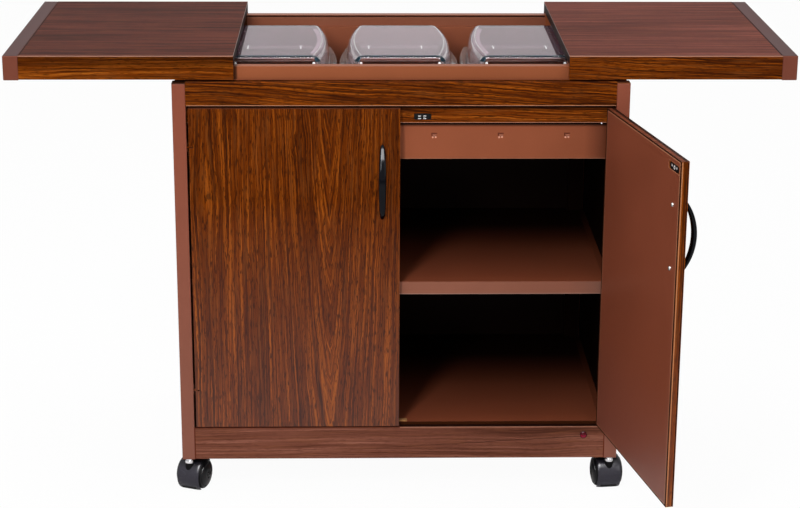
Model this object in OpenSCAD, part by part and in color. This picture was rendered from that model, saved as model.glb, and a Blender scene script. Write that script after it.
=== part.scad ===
// Food warmer trolley: a cupboard on four square posts and castors, with a heated tub in its top
// that two sliding leaves uncover. X runs along the width, Y to the back and Z up from the floor.
// Every piece is drawn with Y = 0 at the front of the posts, and place() then moves it so that the
// origin lies under the middle of the whole trolley, with the right door standing open.

/* [Cabinet] */
// Width over the posts
cab_w = 715; // [640:1:860]
// Depth over the posts
cab_d = 454; // [420:1:560]
// Side of the square post tube
post_size = 21; // [19:0.5:26]
// Wall of the post and frame tube
tube_wall = 1.2; // [0.8:0.1:2]
// Height of the fascia above the post tops
post_drop = 3.5; // [2:0.5:6]
// Thickness of the fascia and the plinth
front_t = 12.5; // [12.4:0.1:16]
// Height of the fascia
fascia_h = 38.5; // [30:0.5:60]
// Height of the plinth
plinth_h = 55; // [50:0.5:80]
// How far the plinth starts above the post foot
plinth_lift = 0.5; // [0.2:0.1:2]
// Thickness of the board rail behind the fascia
rail_t = 8; // [6:0.5:8]
// How much of the board rail shows below the fascia
rail_show = 30; // [26:0.5:40]
// Thickness of a side panel
side_t = 16; // [10:0.5:17]
// How far a side panel lies inside the post face
side_in = 2.5; // [1:0.5:4]
// Thickness of the back panel
back_t = 3; // [2:0.5:5]
// Thickness of the post end plug's rim
plug_rim = 1; // [0.8:0.1:1.5]

/* [Doors] */
// Height of a door
door_h = 534; // [480:1:600]
// Thickness of a door
door_t = 12; // [11:0.1:12.1]
// Gap between a door and its post
door_side_gap = 3.5; // [3.2:0.1:4]
// Gap between the two doors
door_mid_gap = 3.5; // [2:0.1:5]
// Gap under a door
door_low_gap = 2; // [1.5:0.1:4]
// Gap over a door
door_top_gap = 4.5; // [2:0.1:6]
// How far the right door stands open
door_open = 101.8; // [60:0.1:106]
// Distance of the hinge pin from the door's edge
hinge_edge = 2; // [1.8:0.1:2.4]
// Distance of the hinge pin behind the door's face
hinge_depth = 3.6; // [3.3:0.1:4]
// Distance of a hinge from the door's end
hinge_inset = 63; // [40:1:120]
// Diameter of the hinge pin
pin_d = 3; // [2.6:0.1:3.4]
// Length of the hinge pin above its lug
pin_l = 12; // [8:0.5:20]
// Thickness of the hinge lug
lug_t = 1.6; // [1.2:0.1:2.4]

/* [Handles] */
// Distance between the screws
handle_pitch = 96; // [64:1:110]
// Length over the bow
handle_l = 124; // [116:1:140]
// Reach in front of the door
handle_reach = 28; // [22:0.5:36]
// Diameter of the bow
handle_d = 9; // [7:0.5:11]
// Distance of the handle from the door's free edge
handle_in = 27.75; // [15:0.25:50]
// Distance of the handle's middle from the door's top
handle_down = 119; // [80:1:260]
// Diameter of the handle screw
screw_d = 4; // [3:0.5:4]

/* [Catches] */
// Distance of a catch from the middle of the trolley
catch_x = 33.5; // [24:0.5:60]
// Width of a catch
catch_w = 27; // [20:0.5:34]
// Height of a catch
catch_h = 10; // [8:0.5:12]
// Distance of a catch's middle above the rail's lower edge
catch_up = 10; // [8:0.5:14]
// Thickness of the striker plate
striker_t = 1.5; // [1:0.1:2]

/* [Leaves] */
// How far a leaf slides out
leaf_open = 260.5; // [180:0.5:275]
// How far a closed leaf lies inside the post face
leaf_in = 1; // [0.5:0.5:2]
// Thickness of the leaf board
leaf_t = 16; // [12:0.5:22]
// Thickness of a skirt board
skirt_t = 9; // [7:0.5:9.5]
// Depth of a skirt below the leaf board
skirt_drop = 21.6; // [18:0.1:22.5]
// Width of the end trim
trim_w = 24; // [16:0.5:30]
// Depth of the end trim below the leaf board
trim_drop = 23; // [20:0.1:23.5]

/* [Guide rails] */
// Width of a guide rail
guide_w = 16; // [16:0.5:20]
// Height of a guide rail
guide_h = 20.5; // [19:0.5:24]
// Wall of the guide rail
guide_wall = 1.5; // [1.2:0.1:1.6]
// Height of the groove
groove_h = 2.8; // [2.6:0.1:3.4]
// Depth of the groove
groove_deep = 10; // [9.5:0.1:11]
// Thickness of the runner's tongue and web
runner_t = 1.8; // [1.4:0.1:1.9]
// Gap between the guide rail's top and the leaf board
leaf_gap = 2.6; // [2.2:0.1:4]

/* [Tub] */
// Thickness of the front and back walls with their insulation
tub_wall = 12; // [8:0.5:20]
// Thickness of the end walls with their insulation
tub_end = 23; // [16:0.5:24]
// Depth of the tub
tub_deep = 84.5; // [80:0.5:95]
// Height of the tub's casing
casing_h = 130; // [120:1:150]
// Sheet of the liner
liner_t = 1.2; // [0.8:0.1:1.5]
// Sheet of the casing
casing_t = 1; // [0.8:0.1:1.5]
// Diameter of the heating rod
rod_d = 8; // [6:0.5:9]
// Number of straight runs of the heating rod
rod_runs = 4; // [2:2:6]
// Diameter of the thermostat
stat_d = 24; // [16:1:30]

/* [Dishes] */
// Gap between the rims of two dishes
dish_gap = 3; // [2:0.5:6]
// Gap between the outer dishes and the ends of the tub
dish_room = 8; // [6:0.5:16]
// Length over a dish's rim
dish_l = 290; // [240:1:330]
// Height of a dish
dish_h = 61; // [50:0.5:62]
// Height of a lid
lid_h = 40; // [30:0.5:40]
// How far the top of a lid lies inside the dish's rim
lid_in = 19; // [18:0.5:26]
// Bulge of a dish's long sides
dish_bow = 12; // [4:0.5:16]
// Wall of the glass
glass_t = 4.5; // [3.5:0.1:5]

/* [Cupboard] */
// Height of the shelf's top
shelf_z = 361.8; // [250:0.1:450]
// Depth of the shelf's lip
shelf_lip = 21; // [15:0.5:30]
// Height of the floor above the plinth's top
floor_up = 5; // [3:0.5:6]
// Depth of the floor's lip
floor_lip = 12; // [8:0.5:12]
// Sheet of the shelf, the floor and their side rails
tray_t = 1.2; // [0.8:0.1:2]
// Width of the side rails' upper face
tray_rail_w = 10; // [8:0.5:14]
// Width of the wiring duct
duct_w = 27; // [24:1:40]
// Depth of the wiring duct
duct_deep = 14; // [13:0.5:20]
// Height of the cable gland above the floor
gland_z = 150; // [140:1:240]
// Diameter of the gland's hole
gland_hole_d = 8; // [6:0.5:9]
// Diameter of a lead
lead_d = 4; // [3:0.5:5]
// Distance of the indicator lamp from the post
lamp_in = 34.5; // [20:0.5:100]
// Distance of the lamp's middle below the plinth's top
lamp_down = 14.5; // [13.5:0.5:16]
// Diameter of the lamp's lens
lamp_d = 12; // [10:0.5:13]

/* [Castors] */
// Height of a castor
castor_h = 59; // [58:0.5:70]
// Diameter of a castor wheel
wheel_d = 50; // [46:0.5:51]
// Width over both wheels
castor_w = 53; // [48:0.5:60]
// Distance of the axle behind the stem
trail = 17.5; // [16:0.5:20]
// Diameter of the stem
stem_d = 11; // [8:0.5:11]
// Diameter of the axle
axle_d = 6; // [5:0.5:8]
// Width of the hood between the wheels
web_w = 18; // [17.6:0.1:20]
// Width of the hood's shroud
hood_w = 42; // [30:0.5:46]
// Thickness of the hood's shroud
hood_t = 1.8; // [1.5:0.1:2.4]
// Height that the stem reaches into the post
stem_grip = 34; // [20:1:50]

/* [Hidden] */
$fn = 48;

// Clearances
seat_gap = 0.3;
fit_gap = 0.05;
turn_gap = 0.8;
reach_past = 1;

// Small sizes of the frame, the heating and the screws
bar_h = 20;
screw_in = 60;
screw_l = 6;
stat_in = 60;
rod_margin = 30;
rod_in = 40;
lead_drop = 5;
lead_in = 6;
duct_air = 4;

// Places across the width, on the right of the middle
post_in = cab_w / 2 - post_size;
post_mid = cab_w / 2 - post_size / 2;
door_edge = post_in - door_side_gap;
door_w = door_edge - door_mid_gap / 2;
door_free = door_edge - door_w;
pin_x = door_edge - hinge_edge;
side_out = cab_w / 2 - side_in;
side_face = side_out - side_t;
leaf_l = cab_w / 2 - leaf_in - seat_gap;
trim_gap = 1.5;
tub_x = leaf_l + seat_gap - trim_w - trim_gap;
liner_x = tub_x - tub_end;

// Places in the depth
post_back = cab_d - post_size;
trail_y = post_size / 2;
guide_gap = 1.5;
guide_y = skirt_t + guide_gap;
guide_end = cab_d - guide_y;
liner_front = post_size + tub_wall;
liner_back = cab_d - liner_front;
tray_end = post_back;

dish_w = (2 * (liner_x - dish_room - dish_gap)) / 3;
dish_pitch = dish_w + dish_gap;
lid_w = dish_w - 2 * lid_in;
lid_l = dish_l - 2 * lid_in;

// Heights
plinth_z = castor_h + plinth_lift;
plinth_top = plinth_z + plinth_h;
door_z = plinth_top + door_low_gap;
door_top = door_z + door_h;
fascia_z = door_top + door_top_gap;
fascia_top = fascia_z + fascia_h;
post_top = fascia_top - post_drop;
rim_gap = 0.8;
rim_z = fascia_top + rim_gap + liner_t;
guide_top = rim_z + guide_h;
leaf_z = guide_top + leaf_gap;
leaf_top = leaf_z + leaf_t;
rail_z = fascia_z - rail_show;
casing_z = rim_z - liner_t - casing_h;
tub_floor = rim_z - tub_deep;
floor_z = plinth_top + floor_up;
tube_z = castor_h + 4;
tube_top = tube_z + post_size;
catch_z = rail_z + catch_up;

// How the back castors are turned, and how far behind its stem a castor turned by a reaches
back_turn = [168, 197];
hood_r = wheel_d / 2 + turn_gap + hood_t;

function reach(r, w, a) = r * abs(cos(a)) + w / 2 * abs(sin(a));

function castor_reach(a) = trail * cos(a) + max(reach(hood_r, hood_w, a), reach(wheel_d / 2, castor_w, a));

// Middle of the trolley's depth, from the tip of the open door to the back castors
tip_inner = sin(door_open) * (hinge_edge - door_w) + cos(door_open) * (door_t - hinge_depth);
tip_outer = sin(door_open) * (hinge_edge - door_w) - cos(door_open) * hinge_depth;
tip_y = hinge_depth + min(tip_inner, tip_outer);
end_y = cab_d - trail_y + max(castor_reach(back_turn[0]), castor_reach(back_turn[1]), trail_y);
mid_y = (end_y + min(tip_y, 0)) / 2;

// Colours
c_post = [0.55, 0.31, 0.24];
c_sheet = [0.56, 0.30, 0.19];
c_wood = [0.42, 0.22, 0.10];
c_leaf = [0.40, 0.23, 0.20];
c_black = [0.08, 0.08, 0.09];
c_steel = [0.75, 0.75, 0.77];
c_glass = [0.70, 0.76, 0.78, 0.4];

// Helpers
module place() translate([0, -mid_y, 0]) children();

module slab(x, y, z) translate([x[0], y[0], z[0]]) cube([x[1] - x[0], y[1] - y[0], z[1] - z[0]]);

module both() {
    children();
    mirror([1, 0, 0]) children();
}

module left() mirror([1, 0, 0]) children();

// A round bar along Y from y0 to y1
module bar_y(x, z, d, y0, y1) translate([x, y0, z]) rotate([-90, 0, 0]) cylinder(d = d, h = y1 - y0);

// A round bar along X from x0 to x1
module bar_x(y, z, d, x0, x1) translate([x0, y, z]) rotate([0, 90, 0]) cylinder(d = d, h = x1 - x0);

module frame_tube(w) {
    difference() {
        square([w, w]);
        translate([tube_wall, tube_wall]) square([w - 2 * tube_wall, w - 2 * tube_wall]);
    }
}

module tube_x(x, y, z) {
    translate([x[0], y, z]) rotate([90, 0, 90]) linear_extrude(x[1] - x[0]) frame_tube(post_size);
}

module tube_y(x, y, z) {
    translate([x, y[1], z]) rotate([90, 0, 0]) linear_extrude(y[1] - y[0]) frame_tube(post_size);
}

// Posts and frame
module post(y) {
    translate([post_in, y, castor_h]) linear_extrude(post_top - castor_h) frame_tube(post_size);
}

module front_posts() place() color(c_post) both() post(0);

module back_posts() place() color(c_post) both() post(post_back);

module plug(y) {
    bore = post_size - 2 * tube_wall - 2 * fit_gap;
    translate([post_in, y, post_top]) cube([post_size, post_size, plug_rim]);
    translate([post_mid - bore / 2, y + (post_size - bore) / 2, post_top - 12]) cube([bore, bore, 12]);
}

module post_plugs() {
    place() color(c_black) both() {
        plug(0);
        plug(post_back);
    }
}

module frame_rails() {
    place() color(c_post) {
        tube_x([-post_in, post_in], front_t + fit_gap, tube_z);
        tube_x([-post_in, post_in], post_back, tube_z);
        both() tube_y(post_in, [post_size, post_back], tube_z);
        both() slab([tub_x + seat_gap, side_face - seat_gap], [post_size, post_back], [post_top - bar_h, post_top]);
    }
}

module side_panel() {
    slab([side_face, side_out], [post_size + fit_gap, post_back - fit_gap], [tube_top + fit_gap, post_top]);
}

module side_panel_left() place() color(c_wood) left() side_panel();

module side_panel_right() place() color(c_wood) side_panel();

// Screws that hold the back panel to the casing, the shelf and the floor
screw_rows = [casing_z + screw_in / 3, shelf_z - shelf_lip / 2, floor_z - floor_lip / 2];
screw_cols = [-0.75, -0.25, 0.25, 0.7];
back_y = post_back + fit_gap;

module at_back_screws() {
    for (z = screw_rows) {
        for (col = screw_cols) {
            translate([col * (tub_x - screw_in), 0, z]) children();
        }
    }
}

module back_screw(gap) {
    bar_y(0, 0, screw_d + 2 * gap, back_y - screw_l, back_y + back_t);
    bar_y(0, 0, 2 * screw_d + 2 * gap, back_y + back_t, back_y + back_t + 2);
}

module cabinet_screws() place() color(c_steel) at_back_screws() back_screw(0);

module back_panel() {
    place() color(c_sheet) difference() {
        slab([-post_in + seat_gap, post_in - seat_gap], [back_y, back_y + back_t],
            [tube_top + fit_gap, post_top]);
        at_back_screws() back_screw(fit_gap);
        bar_y(duct_mid, gland_z, gland_body_d + 2 * fit_gap, back_y - reach_past, back_y + back_t + reach_past);
    }
}

// Front boards
module fascia() {
    w = post_in - fit_gap;
    place() color(c_wood) slab([-w, w], [0, front_t], [fascia_z, fascia_top]);
}

module cross_rail() {
    w = post_in - fit_gap;
    place() color(c_wood) difference() {
        slab([-w, w], [front_t, front_t + rail_t], [rail_z, post_top]);
        both() catch_box(fit_gap, reach_past);
    }
}

module plinth() {
    w = post_in - fit_gap;
    place() color(c_wood) difference() {
        slab([-w, w], [0, front_t], [plinth_z, plinth_top]);
        bar_y(lamp_x, lamp_z, lamp_body_d + 2 * fit_gap, -reach_past, front_t + reach_past);
    }
}

// A catch sits in the board rail and stands a little proud of it
catch_proud = 0.2;

module catch_box(gap, past) {
    slab([catch_x - catch_w / 2 - gap, catch_x + catch_w / 2 + gap],
        [front_t - catch_proud - past, front_t + rail_t - fit_gap + past],
        [catch_z - catch_h / 2 - gap, catch_z + catch_h / 2 + gap]);
}

module catches() place() color(c_black) both() catch_box(0, 0);

// Shelf, floor and the side rails that carry them
tray_x = side_face - seat_gap - tray_rail_w;
duct_x = post_in - seat_gap - duct_w;
duct_mid = duct_x + duct_w / 2;
duct_y = back_y - fit_gap - duct_deep;
lead_y = duct_y + lead_in;

module tray(z, lip) {
    difference() {
        slab([-tray_x, tray_x], [front_t, tray_end], [z - lip, z]);
        slab([-tray_x + tray_t, tray_x - tray_t], [front_t + tray_t, tray_end - tray_t],
            [z - lip - reach_past, z - tray_t]);
        at_back_screws() back_screw(fit_gap);
    }
}

module duct_notch() {
    slab([duct_x - seat_gap, cab_w], [duct_y - seat_gap, cab_d], [shelf_z - 2 * shelf_lip, shelf_z + reach_past]);
}

module shelf() {
    place() color(c_sheet) difference() {
        tray(shelf_z, shelf_lip);
        duct_notch();
    }
}

module floor_tray() {
    place() color(c_sheet) difference() {
        tray(floor_z, floor_lip);
        translate([duct_mid, lead_y, floor_z - 2 * tray_t]) cylinder(d = lead_d + 2 * seat_gap, h = 3 * tray_t);
    }
}

// Side rail: an upper face beside the tray, a wall against the panel and a foot under the tray's lip
module tray_rail(z, lip) {
    foot = 2 * tray_rail_w;
    x = [tray_x + fit_gap, side_face - fit_gap];
    y = [post_size + fit_gap, duct_y - seat_gap];
    slab(x, y, [z - tray_t, z]);
    slab([x[1] - tray_t, x[1]], y, [z - lip - tray_t, z]);
    slab([x[1] - foot, x[1]], y, [z - lip - tray_t, z - lip - fit_gap]);
}

module tray_rails() {
    place() color(c_sheet) both() {
        tray_rail(shelf_z, shelf_lip);
        tray_rail(floor_z, floor_lip);
    }
}

module door_buffer() {
    place() color([0.75, 0.62, 0.48]) slab([-12, 12], [front_t + 0.5, front_t + 8], [floor_z, floor_z + 2.5]);
}

// Lamp, gland, duct and leads
lamp_x = post_in - lamp_in;
lamp_z = plinth_top - lamp_down;
lamp_body_d = 8;
lamp_back = 30;
gland_body_d = gland_hole_d + 4;

module indicator_lamp() {
    place() color([0.65, 0.08, 0.10]) {
        bar_y(lamp_x, lamp_z, lamp_d, -2.5, 0);
        bar_y(lamp_x, lamp_z, lamp_body_d, 0, lamp_back);
        bar_y(lamp_x, lamp_z, lamp_d + 1, front_t + fit_gap, front_t + 3);
    }
}

module wiring_duct() {
    place() color(c_sheet) difference() {
        slab([duct_x, duct_x + duct_w], [duct_y, back_y - fit_gap],
            [floor_z + fit_gap, casing_z - fit_gap]);
        slab([duct_x + casing_t, duct_x + duct_w - casing_t], [duct_y + casing_t, back_y + reach_past],
            [floor_z - reach_past, casing_z + reach_past]);
    }
}

module cable_gland() {
    place() color(c_black) difference() {
        union() {
            bar_y(duct_mid, gland_z, gland_body_d + 5, back_y - 3, back_y - fit_gap);
            bar_y(duct_mid, gland_z, gland_body_d, back_y - 3, back_y + back_t + 12);
            bar_y(duct_mid, gland_z, gland_body_d + 6, back_y + back_t + fit_gap, back_y + back_t + 4);
        }
        bar_y(duct_mid, gland_z, gland_hole_d, back_y - 4, back_y + back_t + 13);
    }
}

lead_z = lamp_z;
lead_top = tub_floor - liner_t - rod_d - lead_drop;
stat_x = liner_x - stat_in;
stat_y = cab_d / 2;

module wiring_path(d) {
    bar_y(lamp_x, lead_z, d, lamp_back + fit_gap, lead_y);
    bar_x(lead_y, lead_z, d, lamp_x, duct_mid);
    translate([duct_mid, lead_y, lead_z]) cylinder(d = d, h = lead_top - lead_z);
    bar_y(duct_mid, lead_top, d, stat_y, lead_y);
    bar_x(stat_y, lead_top, d, stat_x + stat_d / 2 + fit_gap, duct_mid);
    bar_y(stat_x, lead_top, d, rod_y(0), stat_y - stat_d / 2 - fit_gap);
    bar_y(stat_x, lead_top, d, stat_y + stat_d / 2 + fit_gap, rod_y(rod_runs - 1));
    for (k = [0, rod_runs - 1]) {
        translate([stat_x, rod_y(k), lead_top]) cylinder(d = d, h = rod_z - rod_d / 2 - fit_gap - lead_top);
        translate([stat_x, rod_y(k), lead_top]) sphere(d = d);
    }
    for (p = [[lamp_x, lead_y, lead_z], [duct_mid, lead_y, lead_z],
            [duct_mid, lead_y, lead_top], [duct_mid, stat_y, lead_top]]) {
        translate(p) sphere(d = d);
    }
}

module wiring() place() color([0.85, 0.84, 0.80]) wiring_path(lead_d);

// Tub
module tub_liner() {
    place() color(c_sheet) difference() {
        union() {
            slab([-tub_x, tub_x], [guide_y, guide_end], [rim_z - liner_t, rim_z]);
            slab([-liner_x - liner_t, liner_x + liner_t], [liner_front - liner_t, liner_back + liner_t],
                [tub_floor - liner_t, rim_z - liner_t / 2]);
        }
        slab([-liner_x, liner_x], [liner_front, liner_back], [tub_floor, rim_z + reach_past]);
    }
}

// Square dimples across the casing's front
dimple_pitch = 105;
dimple_down = 93.5;
dimple_size = 6;

module tub_casing() {
    place() color(c_sheet) difference() {
        slab([-tub_x, tub_x], [post_size, post_back], [casing_z, casing_z + casing_h - fit_gap]);
        slab([-tub_x + casing_t, tub_x - casing_t], [post_size + casing_t, post_back - casing_t],
            [casing_z + casing_t, rim_z]);
        at_back_screws() back_screw(fit_gap);
        translate([duct_mid, lead_y, casing_z - reach_past]) cylinder(d = lead_d + 2 * seat_gap, h = duct_air);
        for (k = [-2.5 : 2.5]) {
            translate([k * dimple_pitch, post_size, rim_z - dimple_down])
                cube([dimple_size, casing_t, dimple_size], center = true);
        }
    }
}

element_top = tub_floor - liner_t - seat_gap;

module insulation() {
    place() color([0.80, 0.76, 0.62]) difference() {
        slab([-tub_x + casing_t + seat_gap, tub_x - casing_t - seat_gap],
            [post_size + casing_t + seat_gap, post_back - casing_t - seat_gap],
            [casing_z + casing_t + seat_gap, rim_z - 5]);
        slab([-liner_x - liner_t - seat_gap, liner_x + liner_t + seat_gap],
            [liner_front - liner_t - seat_gap, liner_back + liner_t + seat_gap],
            [lead_top - lead_d, rim_z]);
        at_back_screws() back_screw(seat_gap);
        wiring_path(lead_d + 2 * seat_gap);
    }
}

// The rod runs to and fro under the tub's floor, joined by half circles
rod_pitch = (liner_back - liner_front - 2 * rod_margin) / rod_runs;
rod_x = liner_x - rod_in - rod_pitch / 2;
rod_z = element_top - rod_d / 2;

module heating_element() {
    place() color(c_steel) {
        for (k = [0 : rod_runs - 1]) {
            bar_x(rod_y(k), rod_z, rod_d, -rod_x, k == 0 || k == rod_runs - 1 ? stat_x + rod_d : rod_x);
        }
        for (k = [0 : rod_runs - 2]) {
            translate([k % 2 == 0 ? -rod_x : rod_x, rod_y(k) + rod_pitch / 2, rod_z])
                rotate([0, 0, k % 2 == 0 ? 90 : -90])
                rotate_extrude(angle = 180) translate([rod_pitch / 2, 0]) circle(d = rod_d);
        }
    }
}

function rod_y(k) = cab_d / 2 + (k - (rod_runs - 1) / 2) * rod_pitch;

module thermostat() {
    place() color(c_black) translate([stat_x, stat_y, lead_top - lead_d])
        cylinder(d = stat_d, h = element_top - lead_top + lead_d);
}

// Guide rail, drawn with its outer face at 0 and its groove opening to the inside
groove_z = guide_h - guide_wall - groove_h;
block_l = 9;
stop_deep = 3.5;
stop_l = 10;
stop_x = leaf_open + block_l + 1.5;

module guide_section() {
    square([guide_wall, guide_h]);
    translate([0, guide_h - guide_wall]) square([guide_w, guide_wall]);
    square([guide_w, guide_wall]);
    translate([guide_w - guide_wall, 0]) square([guide_wall, groove_z]);
    translate([guide_w - groove_deep - guide_wall, groove_z - guide_wall])
        square([groove_deep + guide_wall, guide_wall]);
    translate([guide_w - groove_deep - guide_wall, groove_z - guide_wall])
        square([guide_wall, groove_h + 2 * guide_wall]);
}

module guide_rail() {
    translate([-tub_x, guide_y, rim_z]) rotate([90, 0, 90]) linear_extrude(2 * tub_x) guide_section();
    both() translate([stop_x, guide_y + guide_w - groove_deep - fit_gap, rim_z + groove_z - fit_gap])
        cube([stop_l, stop_deep, groove_h + 2 * fit_gap]);
}

// Turns what is drawn for the front into its twin at the back
module at_back() translate([0, cab_d, 0]) mirror([0, 1, 0]) children();

module guide_rail_front() place() color(c_sheet) guide_rail();

module guide_rail_back() place() color(c_sheet) at_back() guide_rail();

// Leaves, drawn for the right and slid out
leaf_x = leaf_open + seat_gap;
leaf_end = leaf_x + leaf_l;
board_end = leaf_end - trim_w;

module leaf_board() slab([leaf_x, board_end - fit_gap], [0, cab_d], [leaf_z, leaf_top]);

module leaf_skirt() {
    slab([leaf_x, board_end - fit_gap], [0, skirt_t], [leaf_z - skirt_drop, leaf_z - fit_gap]);
}

module leaf_skirts() {
    leaf_skirt();
    at_back() leaf_skirt();
}

module leaf_trim() slab([board_end, leaf_end], [0, cab_d], [leaf_z - trim_drop, leaf_top]);

// Runner: a flange under the board, a web beside the guide rail and a tongue in its groove
runner_gap = 0.5;
tongue_deep = 5;
block_deep = 9;
runner_y = guide_y + guide_w + runner_gap;
tongue_z = rim_z + groove_z + (groove_h - runner_t) / 2;

module leaf_runner() {
    x = [leaf_x, board_end - trim_gap];
    slab(x, [runner_y, runner_y + 15], [leaf_z - runner_t, leaf_z - fit_gap]);
    slab(x, [runner_y, runner_y + runner_t], [rim_z + 2, leaf_z - fit_gap]);
    slab(x, [runner_y - runner_gap - tongue_deep, runner_y + runner_t], [tongue_z, tongue_z + runner_t]);
    slab([leaf_x, leaf_x + block_l], [runner_y - runner_gap - block_deep, runner_y + runner_t],
        [tongue_z, tongue_z + runner_t]);
}

module leaf_runners() {
    leaf_runner();
    at_back() leaf_runner();
}

module leaf_left_board() place() color(c_leaf) left() leaf_board();

module leaf_left_skirts() place() color(c_wood) left() leaf_skirts();

module leaf_left_trim() place() color(c_leaf) left() leaf_trim();

module leaf_left_runners() place() color(c_sheet) left() leaf_runners();

module leaf_right_board() place() color(c_leaf) leaf_board();

module leaf_right_skirts() place() color(c_wood) leaf_skirts();

module leaf_right_trim() place() color(c_leaf) leaf_trim();

module leaf_right_runners() place() color(c_sheet) leaf_runners();

// Hinges: a lug on the post carries an upright pin, and the door has a slot and a bore for them
lug_w = pin_d + 2.2;
lug_gap = 0.4;
flange_t = 0.8;
hinge_heights = [door_z + hinge_inset, door_top - hinge_inset];

module hinge_lug(z) {
    slab([post_in - flange_t, post_in], [hinge_depth - 0.6, hinge_depth + 10], [z - 7, z + 9]);
    slab([pin_x, post_in], [hinge_depth - lug_w / 2, hinge_depth + lug_w / 2], [z, z + lug_t]);
    translate([pin_x, hinge_depth, z]) cylinder(d = lug_w, h = lug_t);
    translate([pin_x, hinge_depth, z]) cylinder(d = pin_d, h = lug_t + pin_l);
}

module hinge_lugs() {
    place() color(c_steel) both() {
        for (z = hinge_heights) {
            hinge_lug(z);
        }
    }
}

module hinge_slot(z) {
    slab([pin_x - lug_w / 2 - 1.8, post_in], [-reach_past, hinge_depth + lug_w / 2 + 0.5],
        [z - lug_gap, z + lug_t + lug_gap]);
    translate([pin_x, hinge_depth, z]) cylinder(d = pin_d + 2 * fit_gap, h = lug_t + pin_l + 1);
}

// Doors, drawn closed on the right
handle_x = door_free + handle_in;
handle_z = door_top - handle_down;
head_h = 1.6;
thread_l = 7;

module at_handle_screws() {
    for (side = [-1, 1]) {
        translate([handle_x, 0, handle_z + side * handle_pitch / 2]) children();
    }
}

module striker_plate(gap) {
    slab([catch_x - catch_w / 2 + 1.5 - gap, catch_x + catch_w / 2 - 1.5 + gap],
        [door_t - striker_t - gap, door_t + gap], [catch_z - catch_h / 2 - gap, catch_z + catch_h / 2 + gap]);
}

module door_panel() {
    difference() {
        slab([door_free, door_edge], [0, door_t], [door_z, door_top]);
        for (z = hinge_heights) {
            hinge_slot(z);
        }
        at_handle_screws() bar_y(0, 0, screw_d + 2 * fit_gap, -reach_past, door_t + reach_past);
        striker_plate(fit_gap);
    }
}

module door_screws() {
    at_handle_screws() {
        bar_y(0, 0, screw_d, -thread_l, door_t + head_h);
        bar_y(0, 0, 1.75 * screw_d, door_t, door_t + head_h);
    }
}

// Bow of the handle: an arc whose ends meet the door, on two feet
bow_half = (handle_l - handle_d) / 2;
bow_rise = handle_reach - handle_d / 2 - 2;
bow_r = (bow_half * bow_half + bow_rise * bow_rise) / (2 * bow_rise);
bow_y = bow_r - handle_reach + handle_d / 2;
bow_angle = asin(bow_half / bow_r);
foot_y = bow_y - sqrt(bow_r * bow_r - handle_pitch * handle_pitch / 4);

module door_handle() {
    difference() {
        union() {
            translate([handle_x, bow_y, handle_z]) rotate([0, 90, 0])
                rotate([0, 0, -90 - bow_angle]) rotate_extrude(angle = 2 * bow_angle)
                translate([bow_r, 0]) circle(d = handle_d);
            at_handle_screws() bar_y(0, 0, handle_d, foot_y, 0);
        }
        slab([handle_x - handle_d, handle_x + handle_d], [0, handle_d],
            [handle_z - handle_l, handle_z + handle_l]);
        at_handle_screws() bar_y(0, 0, screw_d + 2 * fit_gap, -thread_l - seat_gap, reach_past);
    }
}

// Swings a closed right door to where it stands open
module swing() {
    translate([pin_x, hinge_depth, 0]) rotate([0, 0, door_open]) translate([-pin_x, -hinge_depth, 0])
        children();
}

module door_left_panel() place() color(c_wood) left() door_panel();

module door_left_handle() place() color(c_black) left() door_handle();

module door_left_screws() place() color(c_steel) left() door_screws();

module door_left_striker() place() color(c_black) left() striker_plate(0);

module door_right_panel() place() color(c_wood) swing() door_panel();

module door_right_handle() place() color(c_black) swing() door_handle();

module door_right_screws() place() color(c_steel) swing() door_screws();

module door_right_striker() place() color(c_black) swing() striker_plate(0);

// Castors, drawn with the stem on the Z axis and the axle behind it
stem_low = 31;
collar_d = 14.4;
collar_z = castor_h - 9;
boss_d = stem_d + 6;
castor_places = [[-1, trail_y, -22], [1, trail_y, 6], [-1, cab_d - trail_y, back_turn[0]],
    [1, cab_d - trail_y, back_turn[1]]];

module at_castor(k) {
    spot = castor_places[k - 1];
    translate([spot[0] * post_mid, spot[1], 0]) rotate([0, 0, spot[2]]) children();
}

module castor_stems() {
    place() color(c_steel) {
        for (k = [1 : 4]) {
            at_castor(k) {
                translate([0, 0, stem_low]) cylinder(d = stem_d, h = castor_h + stem_grip - stem_low);
                translate([0, 0, collar_z]) cylinder(d = collar_d, h = 4);
            }
        }
    }
}

module castor_sockets() {
    side = post_size - 2 * tube_wall - 2 * fit_gap;
    place() color(c_black) {
        for (k = [1 : 4]) {
            spot = castor_places[k - 1];
            translate([spot[0] * post_mid, spot[1], castor_h]) difference() {
                translate([-side / 2, -side / 2, 0]) cube([side, side, stem_grip + 4]);
                translate([0, 0, -reach_past]) cylinder(d = stem_d + 2 * fit_gap, h = stem_grip + 2 * reach_past);
            }
        }
    }
}

// Sector of a disc on the axle, from just above the floor in front, over the top, to the back
module hood_sector(r_in, r_out, w) {
    low = asin((wheel_d / 2 - 5) / r_out);
    translate([0, trail, wheel_d / 2]) rotate([90, 0, 90]) rotate([0, 0, 40])
        rotate_extrude(angle = 140 + low) translate([r_in, -w / 2]) square([r_out - r_in, w]);
}

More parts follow.
